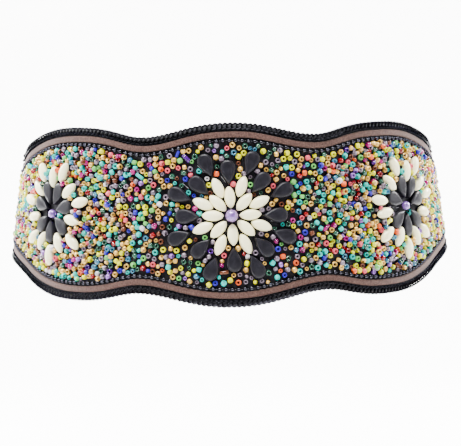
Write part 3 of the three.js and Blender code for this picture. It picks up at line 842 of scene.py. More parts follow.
STONE_FINISH = {StoneKind.CREAM: CREAM, StoneKind.BLACK: CHARCOAL}


def settle(piece: Object, slot: str, finish: Finish | WeaveFinish | None, *nodes: str) -> None:
    """Ride a piece on the belt with its finish, and let it stand for CAD nodes.

    Args:
        piece: the piece.
        slot: not used.
        finish: finish of the whole piece, or None where the piece has its own materials already.
        nodes: CAD nodes that the piece stands for.
    """
    if finish is not None:
        piece.data.materials.clear()
        piece.data.materials.append(finish.build())
    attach(piece, "root")
    if nodes:
        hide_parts(*nodes)


def strip_along(name: str, section: Array, stations: Array,
                place: Callable[[Array, Array, Array], Array]) -> Object:
    """Make a closed strip by carrying a flat section along stations.

    Args:
        name: name of the piece.
        section: rows of height and depth.
        stations: places along the strip.
        place: turns stations, heights and depths into points.
    """
    s = np.repeat(stations, len(section))
    up, depth = np.tile(section, (len(stations), 1)).T
    return closed_piece(name, place(s, up, depth), ring_faces(len(stations), len(section), capped=True))


@dataclass
class FrontPanel:
    """The leather panel, cut to the scalloped outline."""

    stations: int = 260
    across: int = 22
    corner: float = 0.8 * MM
    piece: Object | None = None

    def half_height(self, s: Array) -> Array:
        """Return half the leather's height at places s."""
        return FORM.edge(s) - FORM.panel_inset

    def build(self) -> None:
        """Loft the panel's section along the loop, with heights as shares of half the leather's height."""
        section = rounded_rectangle(2.0, FORM.panel_thickness, self.corner, CORNER_STEPS, self.across)

        def place(s: Array, share: Array, depth: Array) -> Array:
            return FORM.point(s, share * self.half_height(s), depth - FORM.panel_thickness / 2)

        self.piece = strip_along("panel_skin", section, FORM.along_panel(self.stations), place)

    def dress(self) -> None:
        settle(self.piece, "panel_leather", LEATHER, "front_panel")
        s = FORM.along_panel(FINE_STEPS)
        height = 2 * self.half_height(s)


@dataclass
class Trim:
    """A trim that is sewn down along the belt's top or bottom edge."""

    edge: str
    side: int


@dataclass
class CurbChain(Trim):
    """Twisted curb links along the very edge."""

    inset: float = 2.25 * MM
    pitch: float = 2.7 * MM
    half_length: float = 2.0 * MM
    half_width: float = 1.15 * MM
    slant: float = math.radians(46)
    twist: float = 0.45 * MM
    wire: float = 0.6 * MM
    around: int = 12
    wire_sides: int = 5
    play: float = 0.05

    def link(self) -> Object:
        """Make one link: a slanted ring that is twisted so that it lies flat beside its neighbours."""
        points = []
        lean = Matrix.Rotation(self.slant, 3, "Z")
        for turn in turns_round(self.around):
            middle = Vector((self.half_length * math.cos(turn), self.half_width * math.sin(turn),
                             self.twist * math.sin(2 * turn)))
            travel = Vector((-self.half_length * math.sin(turn), self.half_width * math.cos(turn),
                             2 * self.twist * math.cos(2 * turn))).normalized()
            side = travel.cross(Vector((0, 0, 1))).normalized()
            up = side.cross(travel)
            for bend in turns_round(self.wire_sides):
                points.append(lean @ (middle + self.wire * (math.cos(bend) * side + math.sin(bend) * up)))
        faces = ring_faces(self.around, self.wire_sides, looped=True)
        return closed_piece(f"curb_link_{self.edge}", np.array(points), faces)

    def build(self) -> None:
        """Set the links on the edge's line."""
        path = EdgePath(self.side, self.inset, FORM.touch_gap + self.twist + self.wire)
        piece = chain_on(path, f"curb_links_{self.edge}", self.link(), self.pitch,
                         self.half_length + self.wire, LACQUER, self.play)
        settle(piece, "curb_chain", None, f"curb_chain_{self.edge}")


@dataclass
class SuedeLace(Trim):
    """A flat suede lace between the two chains."""

    inset: float = 6.65 * MM
    width: float = 3.3 * MM
    thickness: float = 1.5 * MM
    corner: float = 0.45 * MM
    across: int = 6
    stations: int = 320
    wander: float = 0.12 * MM
    waves: Pair = (7 * MM, 23 * MM)

    def build(self) -> None:
        """Loft the lace's section along the edge."""
        section = rounded_rectangle(self.width, self.thickness, self.corner, CORNER_STEPS, self.across)
        middle = FORM.touch_gap + self.thickness / 2

        def place(s: Array, up: Array, depth: Array) -> Array:
            sway = self.wander * np.sin(s / self.waves[0] + self.side) * np.sin(s / self.waves[1])
            return FORM.point(s, self.side * (FORM.edge(s) - self.inset) + up + sway, middle + depth)

        piece = strip_along(f"suede_lace_{self.edge}", section, FORM.along_panel(self.stations), place)
        settle(piece, "suede_lace", SUEDE, f"suede_strip_{self.edge}")


@dataclass
class BallChain(Trim):
    """Small balls joined by short bars, along the inner side of the lace."""

    inset: float = 9.9 * MM
    pitch: float = 3.48 * MM
    ball: float = 2.4 * MM
    bar: float = 0.6 * MM
    bar_from: float = 0.4
    rows: int = 6
    sides: int = 10
    bar_sides: int = 5

    def ball_and_bar(self) -> Object:
        """Make one ball with the bar that leads to the next ball."""
        points, faces = ball_skin(self.rows, self.sides)
        faces += ring_faces(2, self.bar_sides, first=len(points), capped=True)
        bend = turns_round(self.bar_sides)
        rings = [points * self.ball / 2]
        for x in (self.bar_from * self.ball, self.pitch - self.bar_from * self.ball):
            rings.append(np.stack([np.full(len(bend), x), self.bar / 2 * np.cos(bend),
                                   self.bar / 2 * np.sin(bend)], -1))
        return closed_piece(f"ball_and_bar_{self.edge}", np.concatenate(rings), faces)

    def build(self) -> None:
        """Set the balls on the edge's line."""
        path = EdgePath(self.side, self.inset, FORM.touch_gap + self.ball / 2)
        piece = chain_on(path, f"ball_links_{self.edge}", self.ball_and_bar(), self.pitch,
                         (self.ball + self.pitch) / 2, BALL_PLATING)
        settle(piece, "ball_chain", None, f"ball_chain_{self.edge}")


def stone_skin(kind: StoneKind) -> tuple[Array, Faces]:
    """Return a stone's points and faces: x across, y towards its outer end, z out of the belt."""
    across, along = SHAPE.outline(kind, turns_round(SHAPE.sides))
    rows = SHAPE.profile(kind)
    rings = [np.stack([across * share, along * share, np.full(SHAPE.sides, level)], -1)
             for share, level in rows]
    base = len(rows) * SHAPE.sides
    faces = ring_faces(len(rows), SHAPE.sides)
    faces += pole_faces(base, base + 1, 0, base - SHAPE.sides, SHAPE.sides)
    return np.concatenate([*rings, [[0, 0, 0], [0, 0, SHAPE.height(kind)]]]), faces


def seat_matrix(seat: StoneSeat) -> Array:
    """Return the turn and place of a stone on the belt as a 4 by 4 matrix."""
    along, up, normal = (axis[0] for axis in FORM.axes(np.array([seat.s])))
    c, n = math.cos(seat.angle), math.sin(seat.angle)
    matrix = np.eye(4)
    matrix[:3, 0] = n * along - c * up
    matrix[:3, 1] = c * along + n * up
    matrix[:3, 2] = normal
    matrix[:3, 3] = FORM.point(seat.s, seat.z, 0.0) + normal * seat.lift
    return matrix


def stones_piece(name: str, seats: list[StoneSeat]) -> Object:
    """Make one piece of the stones on the seats."""
    points, faces, first = [], [], 0
    for seat in seats:
        skin, quads = stone_skin(seat.kind)
        matrix = seat_matrix(seat)
        points.append(skin @ matrix[:3, :3].T + matrix[:3, 3])
        faces += [tuple(first + v for v in face) for face in quads]
        first += len(skin)
    return closed_piece(name, np.concatenate(points), faces)


def pearl_piece(name: str, place: Pair, diameter: float, rows: int = 20, sides: int = 36) -> Object:
    """Make a pearl that stands on the panel at a flower's middle."""
    points, faces = ball_skin(rows, sides)
    normal = FORM.axes(np.array([place[0]]))[2][0]
    middle = FORM.point(*place, 0.0) + normal * (FORM.touch_gap + diameter / 2)
    return closed_piece(name, middle + points * diameter / 2, faces)


class CentreFlower:
    """The middle flower: a pearl, two rings of ivory ovals and two rings of charcoal drops."""

    def build(self) -> None:
        """Make the pearl and the thirty-two stones, one piece each."""
        middle = pearl_piece("centre_pearl_bead", LAYOUT.centre_place, LAYOUT.centre_pearl)
        settle(middle, "lilac_pearl", PEARL, "centre_pearl")
        for seat in LAYOUT.centre():
            piece = stones_piece(f"{seat.name}_stone", [seat])
            settle(piece, seat.kind.value, STONE_FINISH[seat.kind], seat.name)


@dataclass
class SideFlower:
    """A side flower: a pearl, seven charcoal petals and fourteen ivory ovals on two stitched beds."""

    name: str
    petal_bed: Pair = (7.65 * MM, 12.15 * MM)
    oval_bed: Pair = (18.55 * MM, 23.55 * MM)
    bed_thickness: float = 0.7 * MM
    bed_steps: int = 72

    def bed(self, name: str, radii: Pair, thickness: float) -> Object:
        """Make a flat ring that follows the belt under a ring of stones."""
        s, z = LAYOUT.middle(self.name)
        low, high = FORM.touch_gap, FORM.touch_gap + thickness
        radius, out = np.array([radii[0], radii[1], radii[1], radii[0]]), np.array([low, low, high, high])
        turn = turns_round(self.bed_steps)[:, None]
        points = FORM.point(s + radius * np.cos(turn), z + radius * np.sin(turn), out)
        faces = ring_faces(self.bed_steps, len(radius), looped=True)
        return closed_piece(name, points, faces, smooth=False)

    def ring(self, kind: StoneKind, word: str, radii: Pair, raised: float) -> None:
        """Make one ring of stones joined to its bed."""
        seats = [seat for seat in LAYOUT.side(self.name) if seat.kind is kind]
        piece = stones_piece(f"{self.name}_{word}_stones", seats)
        backing = self.bed(f"{self.name}_{word}_bed", radii, self.bed_thickness + raised)
        piece.data.materials.append(STONE_FINISH[kind].build())
        backing.data.materials.append(LEATHER.build())
        with bpy.context.temp_override(active_object=piece, selected_editable_objects=[piece, backing]):
            bpy.ops.object.join()
        settle(piece, kind.value, None, f"{self.name}_flower_{word}")

    def build(self) -> None:
        """Make the pearl, the petals and the ovals."""
        middle = pearl_piece(f"{self.name}_pearl_bead", *LAYOUT.pearls()[self.name])
        settle(middle, "lilac_pearl", PEARL, f"{self.name}_pearl")
        self.ring(StoneKind.BLACK, "petals", self.petal_bed, 0.0)
        self.ring(StoneKind.CREAM, "ovals", self.oval_bed, LAYOUT.oval_raise)


class BeadGlass(Enum):
    """How the glass of a seed bead looks."""

    OPAQUE = "opaque"
    CLEAR = "clear"
    LUSTRE = "lustre"


@dataclass(frozen=True)
class BeadColour:
    """One colour of the bead mix, with its share of all beads in hundredths."""

    colour: str
    share: float
    glass: BeadGlass


BEAD_MIX = (
    BeadColour("#E6B85A", 26.5, BeadGlass.LUSTRE),
    BeadColour("#10B8AE", 12.5, BeadGlass.OPAQUE),
    BeadColour("#D4D200", 13, BeadGlass.OPAQUE),
    BeadColour("#877A88", 13, BeadGlass.LUSTRE),
    BeadColour("#DC5464", 4, BeadGlass.OPAQUE),
    BeadColour("#2E22A8", 5, BeadGlass.OPAQUE),
    BeadColour("#6E3E28", 5, BeadGlass.LUSTRE),
    BeadColour("#3E7A62", 9, BeadGlass.CLEAR),
    BeadColour("#D01092", 3.5, BeadGlass.CLEAR),
    BeadColour("#C0101E", 3, BeadGlass.CLEAR),
    BeadColour("#9A6CC4", 2, BeadGlass.LUSTRE),
    BeadColour("#D8D2DA", 2, BeadGlass.OPAQUE),
    BeadColour("#6A22AC", 1.5, BeadGlass.CLEAR),
    BeadColour("#56A8CC", 3, BeadGlass.CLEAR),
    BeadColour("#DC5A28", 1.5, BeadGlass.OPAQUE),
    BeadColour("#66B45A", 3.5, BeadGlass.OPAQUE),
)
TURQUOISE, YELLOW, PURPLE = 1, 2, 12
GLASS_FINISH = {BeadGlass.OPAQUE: OPAQUE_GLASS, BeadGlass.CLEAR: CLEAR_GLASS,
                BeadGlass.LUSTRE: LUSTRE_GLASS}

# Beads that lie where the photographed ones do, as s and z in millimetres, whether it is a tube, and colour
CHOSEN_BEADS = (
    (-23.9, 30.8, True, PURPLE), (-110.8, -1.6, False, PURPLE), (-105.5, -1.5, False, TURQUOISE),
    (116.5, -4.8, False, TURQUOISE))
# Both ends of each run of beading thread that shows, as s and z in millimetres
THREAD_RUNS = (
    (-26.2, 17.5, -22.8, 14.5), (12.0, 24.5, 14.8, 26.8), (-5.0, 21.0, -2.3, 17.5),
    (-17.8, 26.8, -14.2, 23.0), (-29.0, -2.3, -25.0, -3.0), (21.2, -3.8, 26.2, -4.2),
    (100.8, -2.0, 107.8, -1.0), (115.5, -1.6, 124.5, -3.3))


@dataclass
class SeedBeadField:
    """The mixed seed beads that fill the panel between the trims and the stones."""

    seed: int = 20
    # Form of the beads: a tube's section is given as shares of its radius and of half its length
    outer: float = 1.58 * MM
    hole: float = 0.68 * MM
    fullness: float = 1.12
    height: float = 2.3 * MM
    tube_length: float = 5.2 * MM
    tube_section: tuple[Pair, ...] = (
        (0.45, -1), (0.85, -1), (1.0, -0.93), (1.0, 0.93), (0.85, 1), (0.45, 1))
    around: int = 10
    section_sides: int = 6
    # The throw: each size with its share; room and flat share are for the centre and for the sides
    field_end: float = 183 * MM
    edge_overlap: float = 0.35 * MM
    throws: int = 90000
    sizes: tuple[Pair, ...] = ((1.0, 0.4), (0.94, 0.3), (0.86, 0.18), (0.72, 0.12))
    centre_to_sides: Pair = (30 * MM, 60 * MM)
    room: Pair = (1.12, 0.97)
    flat_share: Pair = (0.66, 0.5)
    flat_tip: float = 0.25
    upright_tip: float = 1.0
    tube_share: float = 0.012
    chosen_heading: float = -math.pi / 4
    chosen_tip: float = 1.3
    squeeze: float = 0.97
    tube_reach: float = 0.33
    # Beads that lie on other beads
    second_layer_share: float = 0.09
    second_layer_reach: Pair = (60 * MM, 138 * MM)
    second_layer_shift: float = 1.3 * MM
    second_layer_rise: float = 1.75 * MM
    second_layer_room: float = 1.1
    # Room round pearls, threads and stones, as shares of a bead's reach
    pearl_room: float = 0.8
    thread_room: float = 0.85
    thread_gap: float = 0.2 * MM
    stone_room: float = 0.95
    stone_near: float = 10 * MM
    rim_steps: int = 48
    bare_reach: float = 13.4 * MM
    # What the beads lie on: the leather's skin, and inner radius, outer radius and top of each flower bed
    skin_rise: float = 0.05 * MM
    bed_tops: tuple[Triple, ...] = ((6.7 * MM, 13.1 * MM, 1.0 * MM), (17.6 * MM, 24.5 * MM, 2.0 * MM))
    # Colour: where more of the beads are yellow, and how far a bead's tint goes from its colour
    yellow_from: float = 118 * MM
    yellow_more: float = 0.16
    tints: Pair = (0.86, 1.08)

    def bead(self, name: str, section: Array, roll: int = 0) -> Object:
        """Turn a section into a bead with its hole along z, or along x if the axes are rolled by 1."""
        radius, level = section.T
        turn = turns_round(self.around)[:, None]
        points = np.broadcast_arrays(radius * np.cos(turn), radius * np.sin(turn), level)
        faces = ring_faces(self.around, len(section), looped=True)
        return closed_piece(name, np.roll(np.stack(points, -1), roll, -1), faces)

    def shapes(self) -> list[Object]:
        """Make the round bead and the tube bead."""
        bend = turns_round(self.section_sides, 0.5)
        middle, thick = (self.outer + self.hole) / 2, (self.outer - self.hole) / 2
        section = [middle + thick * np.cos(bend) * self.fullness,
                   self.height / 2 * np.sin(bend) * self.fullness]
        tube = np.array(self.tube_section) * (self.height / 2, self.tube_length / 2)
        return [self.bead("ring_bead", np.stack(section, -1)), self.bead("tube_bead", tube, roll=1)]

    def from_centre(self, s: Array, values: Pair) -> Array:
        """Go from the centre's value to the sides' value at places s."""
        centre, sides = values
        return centre + (sides - centre) * smoothstep(np.abs(s), *self.centre_to_sides)

    def clear(self, s: Array, z: Array, reach: Array) -> Array:
        """Return which places are inside the field and clear of pearls, threads and stones."""
        inner = FORM.edge(s) - FORM.trims_width + self.edge_overlap
        ok = (np.abs(s) < self.field_end) & (np.abs(z) + reach < inner)
        for place, diameter in LAYOUT.pearls().values():
            ok &= np.hypot(s - place[0], z - place[1]) > diameter / 2 + reach * self.pearl_room
        for place in (LAYOUT.left_place, LAYOUT.right_place):
            ok &= np.hypot(s - place[0], z - place[1]) > self.bare_reach
        for run in np.array(THREAD_RUNS) * MM:
            start, travel = run[:2], run[2:] - run[:2]
            share = ((s - start[0]) * travel[0] + (z - start[1]) * travel[1]) / travel.dot(travel)
            share = np.clip(share, 0, 1)
            gap = np.hypot(s - start[0] - share * travel[0], z - start[1] - share * travel[1])
            ok &= gap > reach * self.thread_room + self.thread_gap
        for seat in [*LAYOUT.centre(), *LAYOUT.side("left"), *LAYOUT.side("right")]:
            near = np.flatnonzero(ok & (np.hypot(s - seat.s, z - seat.z) < self.stone_near))
            c, n = math.cos(seat.angle), math.sin(seat.angle)
            y = (s[near] - seat.s) * c + (z[near] - seat.z) * n
            x = (s[near] - seat.s) * n - (z[near] - seat.z) * c
            rim_x, rim_y = SHAPE.outline(seat.kind, turns_round(self.rim_steps))
            gap = np.hypot(x[:, None] - rim_x, y[:, None] - rim_y).min(1)
            length = SHAPE.length(seat.kind)
            level = np.arccos(np.clip(2 * y / length, -1, 1))
            inside = (np.abs(y) < length / 2) & (np.abs(x) < SHAPE.outline(seat.kind, level)[0])
            ok[near[inside | (gap < reach[near] * self.stone_room)]] = False
        return ok

    def ground(self, s: Array, z: Array) -> Array:
        """Return how far out each bead's lowest point lies: on the leather, or on a side flower's bed."""
        middle = np.where(s[:, None] < 0, LAYOUT.left_place, LAYOUT.right_place)
        radius = np.hypot(s - middle[:, 0], z - middle[:, 1])
        out = np.full(len(s), self.skin_rise)
        for inner, outer, top in self.bed_tops:
            out[(inner < radius) & (radius < outer)] = top
        return out

    def with_room(self, s: Array, z: Array, reach: Array, ok: Array) -> Array:
        """Return the numbers of the beads that have room between those kept before them."""
        spread = self.from_centre(s, self.room)
        cell = 4 * MM
        cells: dict[tuple[int, int], list[int]] = {}
        kept = []
        for i in np.flatnonzero(ok):
            column, row = int(s[i] // cell), int(z[i] // cell)
            near = [k for a in (-1, 0, 1) for b in (-1, 0, 1) for k in cells.get((column + a, row + b), ())]
            if all(math.hypot(s[i] - s[k], z[i] - z[k]) >= (reach[i] + reach[k]) * spread[i] for k in near):
                cells.setdefault((column, row), []).append(i)
                kept.append(i)
        return np.array(kept)

    def settle_beads(self, random: np.random.Generator) -> PointSet:
        """Throw beads at the field, keep those that have room, and lay a few on top of others."""
        count = self.throws
        s = random.uniform(-self.field_end, self.field_end, count)
        z = random.uniform(-FORM.centre_half_height, FORM.centre_half_height, count)
        values, shares = np.array(self.sizes).T
        size = random.choice(values, count, p=shares)
        flat = random.random(count) < self.from_centre(s, self.flat_share)
        tube = random.random(count) < self.tube_share
        heading = random.uniform(0, math.tau, count)
        tip = np.where(flat, random.uniform(0, self.flat_tip, count),
                       random.uniform(self.upright_tip, math.pi / 2, count))
        for i, (bead_s, bead_z, is_tube, _) in enumerate(CHOSEN_BEADS):
            s[i], z[i], size[i] = bead_s * MM, bead_z * MM, 1.0
            flat[i], tube[i], heading[i], tip[i] = False, is_tube, self.chosen_heading, self.chosen_tip
        reach = size * np.where(flat, self.outer, (self.outer + self.height / 2) / 2) * self.squeeze
        reach = np.where(tube, self.tube_length * self.tube_reach, reach)
        ok = self.clear(s, z, reach)
        ok[:len(CHOSEN_BEADS)] = True
        kept = self.with_room(s, z, reach, ok)
        half = np.where(flat, self.height / 2, self.outer * self.squeeze) * size
        half = np.where(tube, self.height / 2, half)
        out = self.ground(s[kept], z[kept]) + half[kept]
        first_s, last_s = self.second_layer_reach
        top = (np.abs(s[kept]) > first_s) & (np.abs(s[kept]) < last_s)
        top &= random.random(len(kept)) < self.second_layer_share
        top &= ~tube[kept]
        shift = random.uniform(-1, 1, (len(kept), 2)) * self.second_layer_shift
        upper = kept[top]
        upper_s, upper_z = s[upper] + shift[top, 0], z[upper] + shift[top, 1]
        room = self.clear(upper_s, upper_z, reach[upper] * self.second_layer_room)
        all_s = np.concatenate([s[kept], upper_s[room]])
        all_z = np.concatenate([z[kept], upper_z[room]])
        all_out = np.concatenate([out, out[top][room] + self.second_layer_rise])
        chosen = np.concatenate([kept, upper[room]])
        along, up, normal = FORM.axes(all_s)
        turned, tipped, is_tube = heading[chosen][:, None], tip[chosen][:, None], tube[chosen]
        direction = along * np.cos(turned) + up * np.sin(turned)
        axis = normal * np.cos(tipped) + direction * np.sin(tipped)
        side = direction * np.cos(tipped) - normal * np.sin(tipped)
        axis[is_tube] = normal[is_tube]
        side[is_tube] = direction[is_tube]
        return PointSet(FORM.point(all_s, all_z, all_out), side, axis, size[chosen], is_tube.astype(int))

    def build(self) -> None:
        """Make the bead field as one piece for each glass and half of the belt."""
        random = np.random.default_rng(self.seed)
        points = self.settle_beads(random)
        count = len(points.places)
        shares = np.array([entry.share for entry in BEAD_MIX])
        pick = random.choice(len(BEAD_MIX), count, p=shares / shares.sum())
        beyond = points.places[:, 1] > FORM.point(self.yellow_from, 0, 0)[1]
        pick[beyond & (random.random(count) < self.yellow_more)] = YELLOW
        pick[:len(CHOSEN_BEADS)] = [colour for *_, colour in CHOSEN_BEADS]
        colour = np.array([linear(BEAD_MIX[k].colour) for k in pick])
        colour[:, :3] = np.clip(colour[:, :3] * random.uniform(*self.tints, (count, 1)), 0, 1)
        left = points.places[:, 0] < 0
        for kind in BeadGlass:
            glass = np.array([BEAD_MIX[k].glass is kind for k in pick])
            for word, here in (("left", left), ("right", ~left)):
                rows = glass & here
                part = PointSet(points.places[rows], points.along[rows], points.outward[rows],
                                points.size[rows], points.shape[rows], colour[rows])
                name = f"seed_beads_{kind.value}_{word}"
                piece = copies_on_points(name, part, self.shapes(), GLASS_FINISH[kind])
                settle(piece, "seed_beads", None)
        LOG.info("seed beads: %d", count)


def thread_between(starts: Array, ends: Array, radius: float, name: str,
                   sides: int = 6) -> Object:
    """Make straight thread runs with closed ends as one mesh."""
    widths = ((0.0, 0.5), (0.12, 1.0), (0.88, 1.0), (1.0, 0.5))
    points, faces = [], []
    for start, end in zip(starts, ends):
        travel = (end - start) / np.linalg.norm(end - start)
        side = np.cross(travel, [0.0, 0.0, 1.0] if abs(travel[2]) < 0.9 else [1.0, 0.0, 0.0])
        side /= np.linalg.norm(side)
        up = np.cross(side, travel)
        faces += ring_faces(len(widths), sides, first=len(points), capped=True)
        for share, width in widths:
            for bend in turns_round(sides):
                rim = math.cos(bend) * side + math.sin(bend) * up
                points.append(start + (end - start) * share + rim * radius * width)
    return closed_piece(name, np.array(points), faces)


@dataclass
class BeadingThread:
    """Short runs of clear thread that show where the beads leave a gap."""

    radius: float = 0.13 * MM
    out: float = 0.5 * MM

    def build(self) -> None:
        """Make the thread runs on the panel's face."""
        rows = np.array(THREAD_RUNS) * MM
        starts = FORM.point(rows[:, 0], rows[:, 1], self.out)
        ends = FORM.point(rows[:, 2], rows[:, 3], self.out)
        settle(thread_between(starts, ends, self.radius, "clear_thread_runs"), "thread", NYLON)


@dataclass
class Stitching:
    """Rows of black stitches that hold the elastic bands."""

    route: "BandRoute"
    length: float = 2.5 * MM
    pitch: float = 3.3 * MM
    radius: float = 0.28 * MM
    skim: float = 0.1 * MM
    panel_row: float = 185.2 * MM
    panel_half_height: float = 27.5 * MM
    overlap_rows: Pair = (176 * MM, 184 * MM)
    selvedge: float = 2 * MM

    def row(self, place: float, half_height: float, out: float) -> tuple[Array, Array]:
        """Return the ends of a vertical row of stitches."""
        count = int(2 * half_height / self.pitch)
        z = (np.arange(count) - (count - 1) / 2) * self.pitch
        return tuple(FORM.point(place, z + end * self.length / 2, out) for end in (-1, 1))

    def build(self) -> None:
        """Make the rows on the front, inside the overlaps and on the turned-back ends."""
        below = self.route.thickness / 2 + self.skim
        band_half = self.route.width / 2 - self.selvedge
        rows = []
        for side in (-1, 1):
            front_half = self.panel_half_height - FORM.trims_width
            rows.append(self.row(side * self.panel_row, front_half, self.skim))
            for places, out in ((self.overlap_rows, self.route.band_out),
                                (self.route.sewn_rows(), self.route.sewn_out())):
                rows += [self.row(side * place, band_half, out - below) for place in places]
        starts, ends = (np.concatenate(found) for found in zip(*rows))
        settle(thread_between(starts, ends, self.radius, "sewn_rows"), "thread", SEWING)


@dataclass(frozen=True)
class BandRoute:
    """The elastic band's way from under the panel's end, round the clasp's bar and back on itself."""

    width: float = 50 * MM
    thickness: float = 1.5 * MM
    overlap: float = 14 * MM
    sewn_from: Pair = (3 * MM, 7 * MM)
    clasp_middle: float = 26 * MM
    clasp_slot: float = 3.8 * MM
    clasp_bar: float = 4 * MM
    band_out: float = -3.05 * MM
    loop_radius: float = 2.3 * MM

    def bar_end(self) -> float:
        """Return the place where the band starts to turn round the bar."""
        return FORM.half_loop() - self.clasp_middle / 2 - self.clasp_slot

    def sewn_out(self) -> float:
        """Return the depth of the turned-back end's middle."""
        return self.band_out - self.thickness - FORM.touch_gap

    def sewn_rows(self) -> list[float]:
        """Return the places of the two stitch rows on the turned-back end."""
        last = self.bar_end() - self.clasp_bar - FORM.turn_back
        return [last + row for row in self.sewn_from]

    def stations(self) -> Array:
        """Return rows of place, depth and turn along the band's middle line."""
        clasp_out = self.band_out - self.loop_radius
        start = FORM.panel_half_length - self.overlap
        rows = [(s, self.band_out, 0.0) for s in np.linspace(start, self.bar_end(), 90)[:-1]]
        for turn in np.linspace(0, math.pi, 15):
            rows.append((self.bar_end() + self.loop_radius * math.sin(turn),
                         clasp_out + self.loop_radius * math.cos(turn), turn))
        bar_start = self.bar_end() - self.clasp_bar
        back_out = clasp_out - self.loop_radius
        for share in [*np.linspace(0.0, 0.5, 9), *np.linspace(0.6, 1.0, 5)]:
            depth = back_out + smoothstep(share, 0.0, 0.5) * (self.sewn_out() - back_out)
            rows.append((bar_start - share * FORM.turn_back, depth, math.pi))
        return np.array(rows)


@dataclass
class ElasticBand:
    """One woven elastic band."""

    word: str
    side: int
    route: BandRoute
    corner: float = 0.55 * MM
    across: int = 12
    piece: Object | None = None
    length: float = 0.0

    def build(self) -> None:
        """Carry the band's section along its route, with strip coordinates in metres."""
        section = rounded_rectangle(self.route.width, self.route.thickness, self.corner,
                                    CORNER_STEPS, self.across)
        rows = self.route.stations()
        gone = run_lengths(FORM.point(rows[:, 0], 0.0, rows[:, 1]))
        self.length = float(gone[-1])

        def place(index: Array, up: Array, depth: Array) -> Array:
            s, out, turn = rows[index.astype(int)].T
            return FORM.point(self.side * (s + depth * np.sin(turn)), up, out + depth * np.cos(turn))

        self.piece = strip_along(f"elastic_{self.word}_weave", section, np.arange(len(rows)), place)
        layer = self.piece.data.uv_layers.new(name="strip")
        corners = np.zeros(len(self.piece.data.loops), int)
        self.piece.data.loops.foreach_get("vertex_index", corners)
        uv = np.stack([gone[corners // len(section)], section[corners % len(section), 0]], -1)
        layer.data.foreach_set("uv", uv.ravel())

    def dress(self) -> None:
        settle(self.piece, "elastic", ELASTIC, f"elastic_{self.word}")
        round(self.length, 4)


@dataclass
class BackClasp:
    """The flat plate at the back that joins the two elastic bands."""

    route: BandRoute
    thickness: float = 2.5 * MM
    frame_width: float = 3 * MM
    slot_ease: float = 0.5 * MM
    slot_corner: float = 0.55 * MM
    corner: float = 2 * MM
    corner_steps: int = 6
    bevel: float = 0.4 * MM
    crease: float = math.radians(35)

    def loops(self) -> list[Array]:
        """Return the outlines of the plate and its two slots, less the bevel that is added to them."""
        route, shrink = self.route, 2 * self.bevel
        slot_height = route.width + 2 * self.slot_ease
        length = route.clasp_middle + 2 * (route.clasp_slot + route.clasp_bar)
        height = slot_height + 2 * self.frame_width
        slot = rounded_rectangle(route.clasp_slot + shrink, slot_height + shrink,
                                 self.slot_corner + self.bevel, self.corner_steps)[::-1]
        middle = np.array([(route.clasp_middle + route.clasp_slot) / 2, 0.0])
        plate = rounded_rectangle(length - shrink, height - shrink,
                                  self.corner - self.bevel, self.corner_steps)
        return [plate, slot - middle, slot + middle]

    def build(self) -> None:
        """Fill the plate's outline round its two slots, with a rolled edge."""
        curve = bpy.data.curves.new("clasp_outline", "CURVE")
        curve.dimensions = "2D"
        curve.fill_mode = "BOTH"
        curve.extrude = self.thickness / 2 - self.bevel
        curve.bevel_depth = self.bevel
        curve.bevel_resolution = 2
        for loop in self.loops():
            spline = curve.splines.new("POLY")
            spline.points.add(len(loop) - 1)
            spline.points.foreach_set("co", [c for x, y in loop for c in (x, y, 0.0, 1.0)])
            spline.use_cyclic_u = True
        carrier = linked_object("clasp_carrier", curve)
        mesh = evaluated_mesh(carrier, "clasp_plate")
        bpy.data.objects.remove(carrier)
        skin = bmesh.new()
        skin.from_mesh(mesh)
        bmesh.ops.remove_doubles(skin, verts=skin.verts, dist=0.01 * MM)
        bmesh.ops.recalc_face_normals(skin, faces=skin.faces)
        skin.to_mesh(mesh)
        skin.free()
        middle = FORM.point(FORM.half_loop(), 0.0, self.route.band_out - self.route.loop_radius)
        mesh.transform(Matrix.Translation(Vector((0, middle[1], 0))) @ Matrix.Rotation(math.pi / 2, 4, "X"))
        mesh.set_sharp_from_angle(angle=self.crease)
        settle(linked_object("clasp_plate", mesh), "clasp", PLATED, "back_clasp")


@dataclass(frozen=True)
class Lamp:
    """A rectangular soft light that faces the point aim: places and size in metres, power in watts."""

    name: str
    place: Triple
    aim: Triple
    size: Pair
    power: float

    def build(self) -> None:
        """Add the light to the scene."""
        light = bpy.data.lights.new(self.name, "AREA")
        light.shape = "RECTANGLE"
        light.size, light.size_y = self.size
        light.energy = self.power
        lamp = linked_object(self.name, light)
        lamp.location = self.place
        lamp.rotation_euler = (Vector(self.aim) - Vector(self.place)).to_track_quat("-Z", "Y").to_euler()


BELT_MIDDLE, PAPER_MIDDLE = (0.0, 0.0, 0.0), (0.0, 2.6, -0.1)
LAMPS = (
    Lamp("key", (-0.35, -0.75, 1.7), BELT_MIDDLE, (1.4, 0.4), 138.0),
    Lamp("fill_left", (-1.7, -0.4, 0.45), BELT_MIDDLE, (1.2, 1.2), 26.0),
    Lamp("fill_right", (1.7, -0.4, 0.45), BELT_MIDDLE, (1.2, 1.2), 26.0),
    Lamp("inner", (0.2, 1.2, 1.3), BELT_MIDDLE, (1.0, 1.0), 18.0),
    Lamp("paper_left", (-1.3, 0.7, 0.9), PAPER_MIDDLE, (1.0, 1.0), 380.0),
    Lamp("paper_right", (1.3, 0.7, 0.9), PAPER_MIDDLE, (1.0, 1.0), 380.0),
)
# Matt white studio paper
PAPER = Finish("studio_paper", "#F4F4F3", "#F1F1F0", 0.5, (0.9, 0.95), 0.05, 0.0001)


